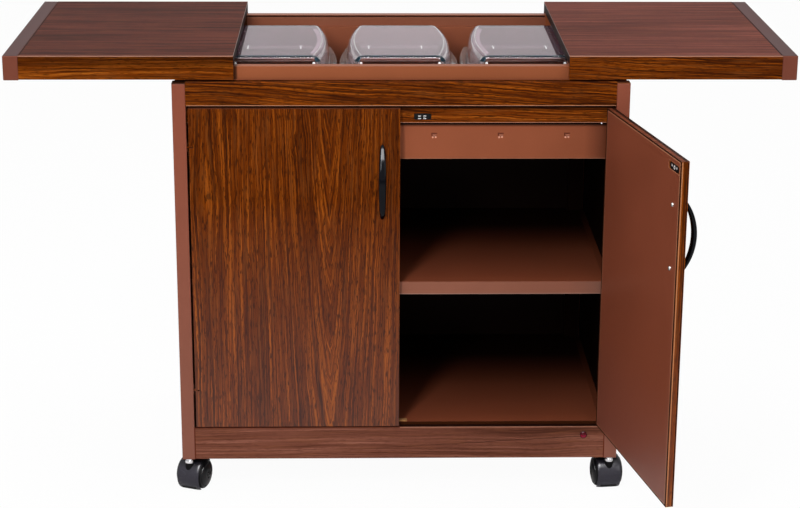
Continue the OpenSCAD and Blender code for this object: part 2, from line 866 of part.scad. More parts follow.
module castor_hood(k) {
    wheel_r = wheel_d / 2;
    place() color(c_black) at_castor(k) difference() {
        union() {
            hood_sector(axle_d * 0.75, hood_r - hood_t / 3, web_w);
            bar_x(trail, wheel_r, 2 * axle_d + 1, -web_w / 2 + 0.1, web_w / 2 - 0.1);
            hood_sector(wheel_r + turn_gap, hood_r, hood_w);
            translate([0, 0, stem_low - 3]) cylinder(d = boss_d, h = collar_z - stem_low + 5);
        }
        bar_x(trail, wheel_r, axle_d + 2 * fit_gap, -web_w, web_w);
        translate([0, 0, stem_low - seat_gap]) cylinder(d = stem_d + 2 * fit_gap, h = castor_h);
        translate([0, 0, collar_z - seat_gap]) cylinder(d = boss_d + 3, h = castor_h);
    }
}

module castor_wheel() {
    wheel_r = wheel_d / 2;
    inner = web_w / 2 + 0.4;
    outer = castor_w / 2;
    dome = 6;
    difference() {
        rotate([90, 0, 90]) rotate_extrude() polygon(concat(
            [[0, inner], [wheel_r, inner]],
            [for (a = [0 : 15 : 90]) [wheel_r - dome + dome * cos(a), outer - dome + dome * sin(a)]],
            [[0, outer]]));
        bar_x(0, 0, axle_d + 2 * fit_gap, 0, outer - 3);
    }
}

module castor_wheels(k) {
    place() color(c_black) at_castor(k) translate([0, trail, wheel_d / 2]) {
        both() castor_wheel();
        bar_x(0, 0, axle_d, -castor_w / 2 + 3.3, castor_w / 2 - 3.3);
    }
}

// Outline of a dish: straight ends, bowed long sides and round corners
side_steps = 8;
corner_steps = 4;

function corner(cx, cy, r, a) = [for (i = [1 : corner_steps - 1])
    [cx + r * cos(a + 90 * i / corner_steps), cy + r * sin(a + 90 * i / corner_steps)]];

function long_side(x, bow, cy, s) = [for (i = [0 : side_steps])
    let (t = 2 * i / side_steps - 1) [s * (x - bow * t * t), s * t * cy]];

function outline(w, l, bow, r) =
    let (cx = w / 2 - bow - r, cy = l / 2 - r)
    concat(long_side(w / 2, bow, cy, 1), corner(cx, cy, r, 0), [[cx, l / 2], [-cx, l / 2]],
        corner(-cx, cy, r, 90), long_side(w / 2, bow, cy, -1), corner(-cx, -cy, r, 180),
        [[-cx, -l / 2], [cx, -l / 2]], corner(cx, -cy, r, 270));

// Skin over a stack of outlines, each given as width, length, bow, corner radius and height
module skin(levels) {
    rings = [for (v = levels) outline(v[0], v[1], v[2], v[3])];
    n = len(rings[0]);
    m = len(levels);
    points = [for (k = [0 : m - 1]) for (p = rings[k]) [p[0], p[1], levels[k][4]]];
    walls = [for (k = [0 : m - 2]) for (i = [0 : n - 1]) let (j = (i + 1) % n)
        each [[k * n + i, (k + 1) * n + i, k * n + j], [k * n + j, (k + 1) * n + i, (k + 1) * n + j]]];
    caps = [[for (i = [0 : n - 1]) i], [for (i = [n - 1 : -1 : 0]) (m - 1) * n + i]];
    polyhedron(points, concat(walls, caps));
}

corner_r = 16;
dish_rim = 10;
dish_taper = 8;
lid_flare = 7;
lid_round = 3;

function inset(v, d, z) = [v[0] - 2 * d, v[1] - 2 * d, v[2], max(v[3] - d, 2), z];

module dish() {
    rim = [dish_w, dish_l, dish_bow, corner_r];
    wall = inset(rim, dish_rim, 0);
    base = inset(wall, dish_taper, 0);
    h = dish_h;
    skin([
        inset(base, 4, 0),
        inset(base, 0, 4),
        inset(wall, 0, h - glass_t),
        inset(rim, 0, h - glass_t),
        inset(rim, 0, h),
        inset(wall, glass_t, h),
        inset(base, glass_t, glass_t + 3),
        inset(base, glass_t + 4, glass_t)
    ]);
}

module lid() {
    top = [lid_w, lid_l, dish_bow, corner_r];
    foot = inset(top, -lid_flare, 0);
    h = lid_h;
    skin([
        inset(top, glass_t + lid_round, h - glass_t),
        inset(top, glass_t, h - glass_t - lid_round),
        inset(foot, glass_t, 0),
        inset(foot, 0, 0),
        inset(foot, 0, glass_t),
        inset(top, 0, h - lid_round),
        inset(top, 1, h - 1),
        inset(top, lid_round, h)
    ]);
}

dish_z = tub_floor + seat_gap;
lid_z = dish_z + dish_h + seat_gap;

module at_dish(k) place() translate([k * dish_pitch, cab_d / 2, 0]) color(c_glass) children();

module dish_left() at_dish(-1) translate([0, 0, dish_z]) dish();

module lid_left() at_dish(-1) translate([0, 0, lid_z]) lid();

module dish_middle() at_dish(0) translate([0, 0, dish_z]) dish();

module lid_middle() at_dish(0) translate([0, 0, lid_z]) lid();

module dish_right() at_dish(1) translate([0, 0, dish_z]) dish();

module lid_right() at_dish(1) translate([0, 0, lid_z]) lid();

front_posts();
back_posts();
post_plugs();
side_panel_left();
side_panel_right();
back_panel();
fascia();
cross_rail();
plinth();
floor_tray();
shelf();
tray_rails();
frame_rails();
catches();
door_buffer();
indicator_lamp();
wiring_duct();
wiring();
cable_gland();
cabinet_screws();
hinge_lugs();
castor_sockets();
castor_stems();
castor_hood(1);  // castor_hood_1
castor_hood(2);  // castor_hood_2
castor_hood(3);  // castor_hood_3
castor_hood(4);  // castor_hood_4
castor_wheels(1);  // castor_wheels_1
castor_wheels(2);  // castor_wheels_2
castor_wheels(3);  // castor_wheels_3
castor_wheels(4);  // castor_wheels_4
tub_liner();
tub_casing();
insulation();
heating_element();
thermostat();
guide_rail_front();
guide_rail_back();
leaf_left_board();
leaf_left_skirts();
leaf_left_trim();
leaf_left_runners();
leaf_right_board();
leaf_right_skirts();
leaf_right_trim();
leaf_right_runners();
door_left_panel();
door_left_handle();
door_left_screws();
door_left_striker();
door_right_panel();
door_right_handle();
door_right_screws();
door_right_striker();
dish_left();
lid_left();
dish_middle();
lid_middle();
dish_right();
lid_right();
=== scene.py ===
import math

import bmesh
import bpy
from mathutils import Matrix, Vector


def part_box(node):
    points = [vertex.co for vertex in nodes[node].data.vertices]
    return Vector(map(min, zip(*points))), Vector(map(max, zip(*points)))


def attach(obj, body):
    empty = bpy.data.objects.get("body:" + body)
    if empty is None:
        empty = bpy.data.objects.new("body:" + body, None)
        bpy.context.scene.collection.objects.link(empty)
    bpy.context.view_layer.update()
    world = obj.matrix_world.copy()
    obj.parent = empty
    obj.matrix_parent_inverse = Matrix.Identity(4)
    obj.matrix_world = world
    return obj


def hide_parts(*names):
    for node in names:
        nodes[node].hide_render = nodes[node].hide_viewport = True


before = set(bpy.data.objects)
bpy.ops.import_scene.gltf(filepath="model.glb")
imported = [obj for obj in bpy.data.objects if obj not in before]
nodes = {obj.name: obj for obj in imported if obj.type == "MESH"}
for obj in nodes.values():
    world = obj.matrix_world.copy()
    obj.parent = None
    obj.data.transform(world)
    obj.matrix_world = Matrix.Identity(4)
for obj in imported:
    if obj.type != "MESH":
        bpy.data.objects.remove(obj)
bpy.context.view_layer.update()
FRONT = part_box("front_posts")[0].y  # the plane of the posts' front faces

# Places in the solids, in millimetres. X counts from the middle, and Y from the posts' front
# faces. Those on a door are given for the right door when shut.
DEPTH = 454.0  # from the front posts' faces to the back of the back posts
MIDDLE = DEPTH / 2
HINGE = (331.0, 3.6)  # the right door's pins, seen from above
DOOR_ANGLE = 101.8  # degrees from shut to where the right door stands open at rest
HANDLE_X, HANDLE_Z, HANDLE_SPAN = 29.5, 531.5, 96.0  # the span is from screw to screw
STRIKER_X, STRIKER_Z = 29.7, 635.0
SKIN_Y = 12.25  # inner face of a door's painted skin
DISH_PITCH = 201.0
DISH_Z, LID_Z = 611.3, 672.6  # where a dish and a lid begin
LEAF_ENDS = (260.9, 592.9)  # where an open leaf's front wood begins and ends
POST_INNER = 335.2  # half the width between the front posts, less a hair


def at(x, y, z):
    """A point given in millimetres, with Y counted from the posts' front faces."""
    return Vector((x / 1000, y / 1000 + FRONT, z / 1000))


def add_object(name, data):
    obj = bpy.data.objects.new(name, data)
    bpy.context.scene.collection.objects.link(obj)
    return obj


# Materials

def srgb(r, g, b):
    """A linear colour from the eight-bit values a picture shows."""
    lin = [((c / 255 + 0.055) / 1.055) ** 2.4 if c > 10 else c / 255 / 12.92 for c in (r, g, b)]
    return (*lin, 1.0)


def scaled(colour, factor):
    return (*(min(1.0, c * factor) for c in colour[:3]), 1.0)


def add_node(tree, kind, inputs=None, **props):
    """A new node, with its properties set and its inputs linked or given values."""
    n = tree.nodes.new("ShaderNode" + kind)
    for key, value in props.items():
        setattr(n, key, value)
    for key, value in (inputs or {}).items():
        if isinstance(value, bpy.types.NodeSocket):
            tree.links.new(value, n.inputs[key])
        else:
            n.inputs[key].default_value = value
    return n


class Shader:
    """A material and short calls for the nodes in it."""

    def __init__(self, name, **sockets):
        self.mat = bpy.data.materials.new(name)
        self.mat.use_nodes = True
        self.tree = self.mat.node_tree
        self.bsdf = self.tree.nodes["Principled BSDF"]
        for key, value in sockets.items():
            self.bsdf.inputs[key.replace("_", " ")].default_value = value

    def node(self, kind, inputs=None, **props):
        return add_node(self.tree, kind, inputs, **props)

    def coords(self):
        return self.node("TexCoord").outputs["Object"]

    def mapping(self, vector, scale=(1, 1, 1), rotation=(0, 0, 0), location=(0, 0, 0)):
        n = self.node("Mapping", {"Vector": vector, "Scale": scale, "Rotation": rotation,
                                  "Location": location})
        return n.outputs[0]

    def noise(self, vector, scale, detail, rough=0.5, distortion=0.0):
        n = self.node("TexNoise", {"Vector": vector, "Scale": scale, "Detail": detail,
                                   "Roughness": rough, "Distortion": distortion})
        return n.outputs["Fac"]

    def math(self, op, a, b=0.0, c=0.0):
        return self.node("Math", {0: a, 1: b, 2: c}, operation=op).outputs[0]

    def ramp(self, fac, *stops):
        n = self.node("ValToRGB", {"Fac": fac})
        while len(n.color_ramp.elements) < len(stops):
            n.color_ramp.elements.new(0.5)
        for element, (place, colour) in zip(n.color_ramp.elements, stops):
            element.position = place
            element.color = colour
        return n.outputs["Color"]

    def range(self, value, low, high, to_low, to_high):
        n = self.node("MapRange", {"Value": value, "From Min": low, "From Max": high,
                                   "To Min": to_low, "To Max": to_high})
        return n.outputs["Result"]

    def mix(self, fac, a, b, blend="MIX"):
        n = self.node("Mix", {0: fac, 6: a, 7: b}, data_type="RGBA", blend_type=blend)
        return n.outputs[2]

    def link(self, socket, name):
        self.tree.links.new(socket, self.bsdf.inputs[name])

    def bump(self, height, strength, distance):
        n = self.node("Bump", {"Height": height, "Strength": strength, "Distance": distance})
        self.link(n.outputs[0], "Normal")


REDDISH = (0.24, 0.085, 0.022)  # the tint of a grain's short blushes
STEEP = 11.0  # how much further a figure's V's run along the grain than across it
BLUNT = 0.013  # how round their tips are, in metres


def wood(name, across, along, tones, turn=0.0, pivot=(0, 0, 0), figure=None, eyes=(),
         rough=0.42, gloss=0.025, fade=(), lift=None, contrast=1.15, coarse=0.0, lines=0.25,
         dark_lines=0.2, pores=0.7, wander=0.006, seed=0.0, fine=1.0, slope=0.0):
    """Printed wood grain. across and along are the axes over and along the grain, and tones go
    from dark to light. The figure, (place across, base along, reach), is a nest of V's over its
    base whose arms run out into straight lines, and each eye, (across, along, half width, half
    length, spread), parts the lines. A fade (axis, low, high, shade, amount) blends into its
    shade towards low, and the lift adds its shade towards low."""
    s = Shader(name, Specular_IOR_Level=gloss)
    darkest, dark, light, lightest = (srgb(*tone) for tone in tones)
    vector = s.coords()
    if turn:
        back = Matrix.Rotation(-turn, 3, "Z") @ Vector(pivot)
        vector = s.mapping(vector, rotation=(0, 0, -turn), location=tuple(Vector(pivot) - back))
    # u runs over the grain, v along it and w through it
    split = s.node("SeparateXYZ", {0: vector})
    axes = ["XYZ".index(across), "XYZ".index(along)]
    u, v = (split.outputs[i] for i in axes)
    w = s.math("MULTIPLY", split.outputs[3 - sum(axes)], 60.0)

    def field(base, su, sv, detail, roughness, shift=0.0):
        """Noise with about su spots a metre over the grain and sv along it. The shift keeps
        the noises apart."""
        c = s.node("CombineXYZ", {0: s.math("MULTIPLY_ADD", base, su, shift + seed),
                                  1: s.math("MULTIPLY", v, sv), 2: w})
        return s.noise(c.outputs[0], 1.0, detail, roughness)

    # uw is the place over the grain with the lines' bends taken out
    bend = field(u, 6.0, 2.8, 2.0, 0.5)
    shake = field(u, 45.0, 12.0, 2.0, 0.5, 3.7)
    uw = s.math("ADD", u, s.math("MULTIPLY_ADD", bend, 2 * wander, -wander))
    uw = s.math("MULTIPLY_ADD", v, slope, uw)
    uw = s.math("ADD", uw, s.math("MULTIPLY_ADD", shake, 0.004, -0.002))
    tremble = field(u, 90.0, 70.0, 1.0, 0.5, 6.6)
    uw = s.math("ADD", uw, s.math("MULTIPLY_ADD", tremble, 0.0016, -0.0008))
    for place, base, wide, tall, spread in eyes:
        p = s.math("DIVIDE", s.math("SUBTRACT", uw, place), wide)
        q = s.math("DIVIDE", s.math("SUBTRACT", v, base), tall)
        square = s.math("MULTIPLY_ADD", p, p, s.math("MULTIPLY", q, q))
        fall = s.math("EXPONENT", s.math("MULTIPLY", square, -1.0))
        uw = s.math("SUBTRACT", uw, s.math("MULTIPLY", s.math("MULTIPLY", p, fall), spread))
    grain = uw
    if figure:
        place, base, reach = figure
        d = s.math("SUBTRACT", uw, place)
        blunt = s.math("SQRT", s.math("MULTIPLY_ADD", d, d, BLUNT ** 2))
        sharp = s.math("ABSOLUTE", d)
        shape = s.math("MULTIPLY_ADD", sharp, 0.35, s.math("MULTIPLY", blunt, 0.65))
        shape = s.math("MULTIPLY_ADD", d, 0.10, shape)
        ragged = field(u, 34.0, 22.0, 2.0, 0.5, 11.3)
        rise = s.math("DIVIDE", s.math("SUBTRACT", v, base), STEEP)
        rise = s.math("MAXIMUM", rise, 0.0)
        near = s.range(sharp, 0.012, reach, 1.0, 0.0)
        rise = s.math("ADD", rise, s.math("MULTIPLY_ADD", ragged, 0.0036, -0.0018))
        grain = s.math("SUBTRACT", shape, s.math("MULTIPLY", near, rise))
        w = s.math("ADD", w, s.range(d, -0.10, 0.10, -2.5, 2.5))  # unlike sides of a V

    # The ground tone: from hairs, fine lines, bands and clouds
    hair = field(grain, 600.0 * fine, 9.0, 3.0, 0.65, 2.2)
    line = field(grain, 300.0 * fine, 2.4, 2.0, 0.6, 5.9)
    band = field(grain, 80.0, 1.2, 2.0, 0.5, 1.3)
    cloud = field(uw, 14.0, 2.4, 2.0, 0.5, 8.8)
    total = s.math("MULTIPLY", hair, 0.42 - 0.20 * coarse)
    total = s.math("MULTIPLY_ADD", line, 0.42 - 0.12 * coarse, total)
    total = s.math("MULTIPLY_ADD", band, 0.08 + 0.17 * coarse, total)
    total = s.math("MULTIPLY_ADD", cloud, 0.08 + 0.15 * coarse, total)
    half = 0.115 / contrast
    tone = s.range(total, 0.5 - half, 0.5 + half, 0.0, 1.0)
    colour = s.ramp(tone, (0.0, darkest), (0.35, dark), (0.65, light), (1.0, lightest))

    # Over it: light lines, dark lines, pores and blushes
    pale = s.range(field(grain, 240.0 * fine, 1.3, 1.0, 0.4, 7.1), 0.62, 0.70, 0.0, lines)
    colour = s.mix(pale, colour, lightest)
    deep = s.range(field(grain, 300.0 * fine, 2.6, 1.0, 0.4, 4.4), 0.60, 0.68, 0.0, dark_lines)
    colour = s.mix(deep, colour, darkest)
    pore = s.range(field(uw, 640.0, 70.0, 2.0, 0.5, 9.1), 0.54, 0.64, 0.0, pores)
    colour = s.mix(pore, colour, darkest)
    blush = s.range(field(uw, 260.0, 16.0, 2.0, 0.5, 13.7), 0.52, 0.68, 0.0, 0.35)
    blushed = (*(a + (b - a) * 0.35 for a, b in zip(light, REDDISH)), 1.0)
    colour = s.mix(blush, colour, blushed)

    for axis, low, high, shade, amount in fade:
        place = split.outputs["XYZ".index(axis)]
        colour = s.mix(s.range(place, low, high, amount, 0.0), colour, srgb(*shade))
    if lift:
        axis, low, high, shade = lift
        place = split.outputs["XYZ".index(axis)]
        colour = s.mix(s.range(place, low, high, 1.0, 0.0), colour, srgb(*shade), "ADD")
    s.link(colour, "Base Color")
    s.link(s.math("MULTIPLY_ADD", hair, 0.16, rough - 0.08), "Roughness")
    s.bump(s.math("SUBTRACT", hair, s.math("MULTIPLY", pore, 0.6)), 0.12, 0.0004)
    return s.mat


def paint(name, rgb, rough, gloss=0.12, grain=0.03, texture=900.0, fade=()):
    """Sprayed paint or moulded plastic: fine orange-peel texture and a slight drift of tone.
    Each fade blends into its shade towards low, as in wood."""
    s = Shader(name, Specular_IOR_Level=gloss)
    colour = srgb(*rgb)
    vector = s.coords()
    cloud = s.noise(vector, 6.0, 3.0)
    fine = s.noise(vector, texture, 3.0, 0.6)
    blend = s.math("MULTIPLY_ADD", fine, 0.35, s.math("MULTIPLY", cloud, 0.65))
    tint = s.ramp(blend, (0.3, scaled(colour, 1 - 3 * grain)), (0.7, scaled(colour, 1 + 3 * grain)))
    for axis, low, high, shade, amount in fade:
        split = s.node("SeparateXYZ", {0: vector})
        place = split.outputs["XYZ".index(axis)]
        tint = s.mix(s.range(place, low, high, amount, 0.0), tint, srgb(*shade))
    s.link(tint, "Base Color")
    s.link(s.math("MULTIPLY_ADD", cloud, 0.12, rough - 0.06), "Roughness")
    s.bump(fine, 0.08, 0.0002)
    return s.mat


def metal(name, rgb, rough):
    """Metal with fine scratches around it."""
    s = Shader(name, Metallic=1.0)
    colour = srgb(*rgb)
    scratch = s.noise(s.mapping(s.coords(), scale=(1, 1, 9)), 300.0, 3.0, 0.6)
    s.link(s.ramp(scratch, (0.3, scaled(colour, 0.8)), (0.7, colour)), "Base Color")
    s.link(s.math("MULTIPLY_ADD", scratch, 0.15, rough - 0.07), "Roughness")
    s.bump(scratch, 0.05, 0.0001)
    return s.mat


def glass(name, tint, rough, ior, clear=1.0, edge=None):
    """Glass of one linear tint, which may deepen to another towards grazing angles. What isn't
    clear of it is a milky share of the same colour."""
    s = Shader(name, Transmission_Weight=clear, IOR=ior, Roughness=rough)
    vector = s.coords()
    haze = s.noise(vector, 14.0, 3.0)
    colour = s.ramp(haze, (0.35, (*tint, 1.0)), (0.65, scaled(tint, 1.04)))
    if edge:
        weight = s.node("LayerWeight", {"Blend": 0.5}).outputs["Facing"]
        colour = s.mix(s.range(weight, 0.35, 0.68, 0.0, 1.0), colour, (*edge, 1.0))
    s.link(colour, "Base Color")
    s.bump(s.noise(vector, 40.0, 1.0), 0.02, 0.0004)
    return s.mat


def cloth(name, rgb):
    """Matted fibres."""
    s = Shader(name, Roughness=0.95, Specular_IOR_Level=0.1)
    colour = srgb(*rgb)
    fibre = s.noise(s.mapping(s.coords(), scale=(1, 1, 2)), 1400.0, 4.0, 0.7, 0.6)
    s.link(s.ramp(fibre, (0.3, scaled(colour, 0.7)), (0.7, colour)), "Base Color")
    s.bump(fibre, 0.5, 0.0006)
    return s.mat


# Wood tones, from the darkest lines to the lightest
DOOR_TONES = (42, 13, 0), (74, 28, 0), (93, 38, 0), (138, 69, 12)
BOARD_TONES = (42, 14, 0), (73, 27, 0), (94, 39, 0), (134, 66, 8)
# A lighter copy of the board tones for the left leaf's front: painted light, evening it out with
# the right leaf's front.
BOARD_TONES_LIT = (54, 20, 0), (92, 38, 0), (112, 50, 2), (150, 80, 18)
RAIL_TONES = (50, 18, 0), (92, 38, 2), (108, 48, 4), (142, 74, 16)
PLINTH_TONES = (74, 40, 28), (99, 57, 43), (112, 67, 52), (136, 88, 72)
TOP_TONES = (58, 23, 16), (83, 39, 30), (95, 47, 37), (124, 67, 55)
# A darker copy of the top tones for the left leaf's top: painted shade.
TOP_TONES_SHADED = (36, 12, 7), (59, 24, 15), (72, 31, 21), (100, 50, 38)
EDGE_TONES = (54, 20, 0), (92, 38, 0), (108, 48, 2), (140, 72, 12)
RAW_TONES = (22, 8, 4), (34, 14, 8), (46, 20, 12), (70, 36, 24)
DOOR_TOP_TONES = (70, 30, 16), (100, 50, 32), (116, 62, 42), (140, 84, 62)

DOOR_TURN = math.radians(DOOR_ANGLE)
OPEN_DOOR = dict(turn=DOOR_TURN, pivot=at(*HINGE, 0))
DOOR_FIGURE = (0.12, 0.09, 0.13)
# The doors and side panels are lifted towards pale grey low down: a painted reflection of the
# floor.
LOW_DOOR_SHEEN = ("Z", 0.11, 0.50, (50, 44, 44))
BOARD = dict(coarse=-0.25, lines=0.3, dark_lines=0.12, wander=0.014, fine=1.5)
TOP = dict(rough=0.45, gloss=0.01, contrast=1.7, coarse=0.35, lines=0.3, dark_lines=0.12,
           pores=0.3, fine=1.4)

wood_door = wood("door_grain", "X", "Z", DOOR_TONES, figure=(-0.112, 0.09, 0.13),
                 eyes=[(-0.308, 0.50, 0.022, 0.085, 0.014), (-0.160, 0.60, 0.014, 0.02, 0.006)],
                 lift=LOW_DOOR_SHEEN, contrast=1.1, lines=0.34, dark_lines=0.05, pores=0.85, fine=1.25)
wood_door_turned = wood("door_grain_turned", "X", "Z", DOOR_TONES, figure=DOOR_FIGURE,
                        lift=LOW_DOOR_SHEEN, seed=4.0, **OPEN_DOOR)
wood_front = wood("board_grain", "Z", "X", BOARD_TONES, contrast=1.5, slope=0.06, **BOARD)
wood_front_lit = wood("board_grain_lit", "Z", "X", BOARD_TONES_LIT, seed=5.0, contrast=1.4,
                       **BOARD)
# The board rail darkens to near black along its top: a painted shadow under the fascia.
wood_rail = wood("rail_grain", "Z", "X", RAIL_TONES, coarse=-0.25, lines=0.25, dark_lines=0.15,
                 wander=0.014, seed=7.0, fine=1.4, slope=0.05,
                 fade=[("Z", 0.6500, 0.6445, (14, 3, 1), 0.96)])
wood_plinth = wood("plinth_grain", "Z", "X", PLINTH_TONES, lines=0.3, dark_lines=0.25,
                   contrast=1.2, coarse=0.9, wander=0.012, pores=0.35)
wood_side = wood("side_grain", "Y", "Z", DOOR_TONES, figure=DOOR_FIGURE, lift=LOW_DOOR_SHEEN)
wood_top = wood("top_grain", "Y", "X", TOP_TONES, **TOP)
wood_top_shaded = wood("top_grain_shaded", "Y", "X", TOP_TONES_SHADED, seed=3.0, **TOP)
# The open door's edge is lifted towards grey low down: a painted reflection of the floor.
wood_edge = wood("edge_grain", "Y", "Z", EDGE_TONES, lift=("Z", 0.11, 0.55, (34, 32, 34)),
                 **OPEN_DOOR)
raw_edge = wood("dark_edge", "X", "Y", RAW_TONES)
board_edge = wood("door_top_grain", "Y", "X", DOOR_TOP_TONES)

# Post paint turns greyer towards the floor: a painted reflection of the floor.
paint_post = paint("post_paint", (121, 62, 43), 0.45,
                   fade=[("Z", 0.06, 0.60, (121, 75, 61), 1.0)])
paint_trim = paint("trim_paint", (106, 57, 43), 0.42, 0.06)
# A greyer, darker copy of the trim paint for the trims' top faces: painted sheen and shade.
trim_top_sheen = paint("trim_top_painted_sheen", (74, 46, 44), 0.42, 0.03, grain=0.06)
# Darkens towards the back of the cupboard: painted shade.
paint_inside = paint("inside_paint", (104, 52, 32), 0.45, 0.03,
                     fade=[("Y", FRONT + 0.433, FRONT + 0.02, (14, 5, 3), 1.0)])
# The shelf and floor tray darken towards the back: painted shade.
paint_shelf = paint("shelf_paint", (128, 67, 44), 0.45, 0.02,
                    fade=[("Y", FRONT + 0.33, FRONT + 0.014, (24, 9, 6), 1.0)])
# The shelf lip turns pale and grey below its top edge, a painted sheen, and darker towards its
# right end, painted shade.
paint_lip = paint("lip_paint", (129, 81, 64), 0.42, 0.05,
                  fade=[("Z", 0.3408, 0.3428, (158, 126, 112), 0.8),
                        ("X", 0.345, 0.27, (104, 74, 64), 0.8)])
# The floor tray's front lip is a dark copy of the shelf paint, darker still at its foot: painted
# shade.
floor_lip_shade = paint("floor_lip_painted_shade", (56, 25, 9), 0.45, 0.02,
                        fade=[("Z", 0.1075, 0.1110, (34, 4, 0), 0.9)])
# The back panel's inner face is near black: painted shade inside the cupboard.
paint_back = paint("back_paint", (104, 54, 36), 0.45, 0.05,
                   fade=[("Y", FRONT + 0.4330, FRONT + 0.4345, (9, 3, 2), 1.0)])
# Near black for the side panels' inner faces: painted shade inside the cupboard.
inner_wall_shade = paint("inner_wall_painted_shade", (12, 5, 3), 0.5, 0.02)
# The tub darkens lower down: painted shade in its depth.
paint_tub = paint("tub_paint", (137, 76, 51), 0.45, 0.08,
                  fade=[("Z", 0.624, 0.668, (58, 26, 12), 0.85)])
# Rail paint darkens left of the left leaf's inner end: a painted shadow of the leaf on the front
# rail.
paint_rail = paint("rail_paint", (134, 74, 45), 0.40, 0.06,
                   fade=[("X", -0.2570, -0.2545, (58, 26, 8), 0.9)])
paint_rail_back = paint("back_rail_paint", (130, 75, 53), 0.40)
# The casing darkens towards its right end, painted shade, and to near black under the board rail, a
# painted shadow.
paint_casing = paint("casing_paint", (132, 72, 47), 0.42, 0.05,
                     fade=[("X", 0.331, 0.290, (60, 24, 12), 0.85),
                           ("Z", 0.6205, 0.6160, (14, 3, 1), 0.97)])
paint_press = paint("press_paint", (133, 71, 44), 0.22, 0.5)
# The doors' inner skin turns greyer low down: a painted reflection of the floor.
paint_skin = paint("skin_paint", (114, 58, 39), 0.36, 0.14,
                   fade=[("Z", 0.10, 0.30, (114, 64, 52), 0.8)])
black_soft = paint("black_moulding", (12, 12, 15), 0.22, 0.22, grain=0.08)
black_gloss = paint("black_gloss", (2, 2, 6), 0.12, 0.11, grain=0.05)
black_matt = paint("black_matt", (7, 7, 8), 0.5, 0.08, grain=0.05)
# The castor hoods go black towards their tops: painted shade under the plinth.
grey_plastic = paint("grey_moulding", (44, 42, 50), 0.26, 0.25, grain=0.10, texture=260.0,
                     fade=[("Z", 0.053, 0.040, (4, 4, 5), 1.0)])
# The leaf boards' inner end faces: pale above, a painted reflection at a grazing angle, and dark
# below, painted shade.
end_sheen_and_shade = paint("end_sheen_and_shade", (150, 136, 130), 0.5, 0.03,
                  fade=[("Z", 0.7322, 0.7334, (30, 13, 7), 1.0)])
# The lens is lighter and pinker low down: a painted highlight.
red_lens = paint("red_lens", (76, 0, 16), 0.15, 0.15,
                 fade=[("Z", 0.0975, 0.1015, (160, 34, 62), 0.6)])
lens_ring = paint("lens_ring", (52, 12, 18), 0.4, 0.1)
# Small pale marks on the pressed squares' lower lips: painted highlights.
press_glint = paint("press_glint", (205, 140, 112), 0.3, 0.2)
# Dark lines on the pressed squares' upper and left edges, on the plinth's left top edge and in the
# joints beside the plinth: painted shade.
press_shade = paint("press_shade", (84, 32, 14), 0.5, 0.05)
# A light line on the open door's free edge: a painted highlight.
tan_highlight = paint("tan_highlight", (160, 104, 66), 0.4, 0.15)
# A light line on the plinth's top right edge: a painted highlight.
plinth_highlight = paint("plinth_highlight", (134, 80, 55), 0.4, 0.1)
# Light lines on softened edges, on front edges and round the doors' inner skin: painted highlights.
highlight_line = paint("highlight_line", (160, 108, 80), 0.4, 0.2)
# A light line along the leaves' top front and back edges and the casing's lower edge: a painted
# highlight.
rim_highlight = paint("rim_highlight", (146, 98, 76), 0.4, 0.1)
# Dark lines for painted shade: in gaps round the doors' inner skin, on the plinth's top and in the
# joint between a leaf's board and its trim.
dark_line = paint("dark_line", (34, 12, 6), 0.6, 0.02)
glint = paint("glass_glint", (244, 243, 246), 0.2, 0.5)
# Pale paint on the striker's screw rim and rivets: a painted reflection of their steel.
rivet_sheen = paint("rivet_sheen", (196, 190, 188), 0.35, 0.2)
sleeve = paint("lead_sleeve", (214, 210, 200), 0.6)
steel = metal("plated_steel", (236, 236, 238), 0.22)
dull_steel = metal("rod_steel", (172, 170, 168), 0.35)
# Lid glass comes in copies by face: the outer lids' is darker and the front faces' browner, both
# painted shade; the long sides' is paler and the line round the top milky, both painted highlights.
LID_EDGE = (0.25, 0.14, 0.19)
clear_glass = glass("clear_glass", (0.80, 0.74, 0.76), 0.02, 1.3)
rim_glass = glass("rim_glass", (0.40, 0.38, 0.37), 0.05, 1.35, 0.8)
side_glass = glass("side_glass", (0.90, 0.84, 0.87), 0.03, 1.22, 0.92)
lid_glass = glass("lid_glass", (0.80, 0.72, 0.76), 0.04, 1.24, 0.9, LID_EDGE)
shaded_lid_glass = glass("shaded_lid_glass", (0.66, 0.60, 0.64), 0.04, 1.19, 0.9, LID_EDGE)
lid_highlight_line = glass("lid_highlight_line", (0.60, 0.55, 0.58), 0.1, 1.35, 0.7)
edge_glass = glass("edge_glass", (0.006, 0.030, 0.048), 0.08, 1.15, 0.6)
front_glass = glass("front_glass", (0.70, 0.54, 0.50), 0.04, 1.25)
felt = cloth("felt", (170, 120, 70))
wool = cloth("mineral_wool", (196, 184, 148))

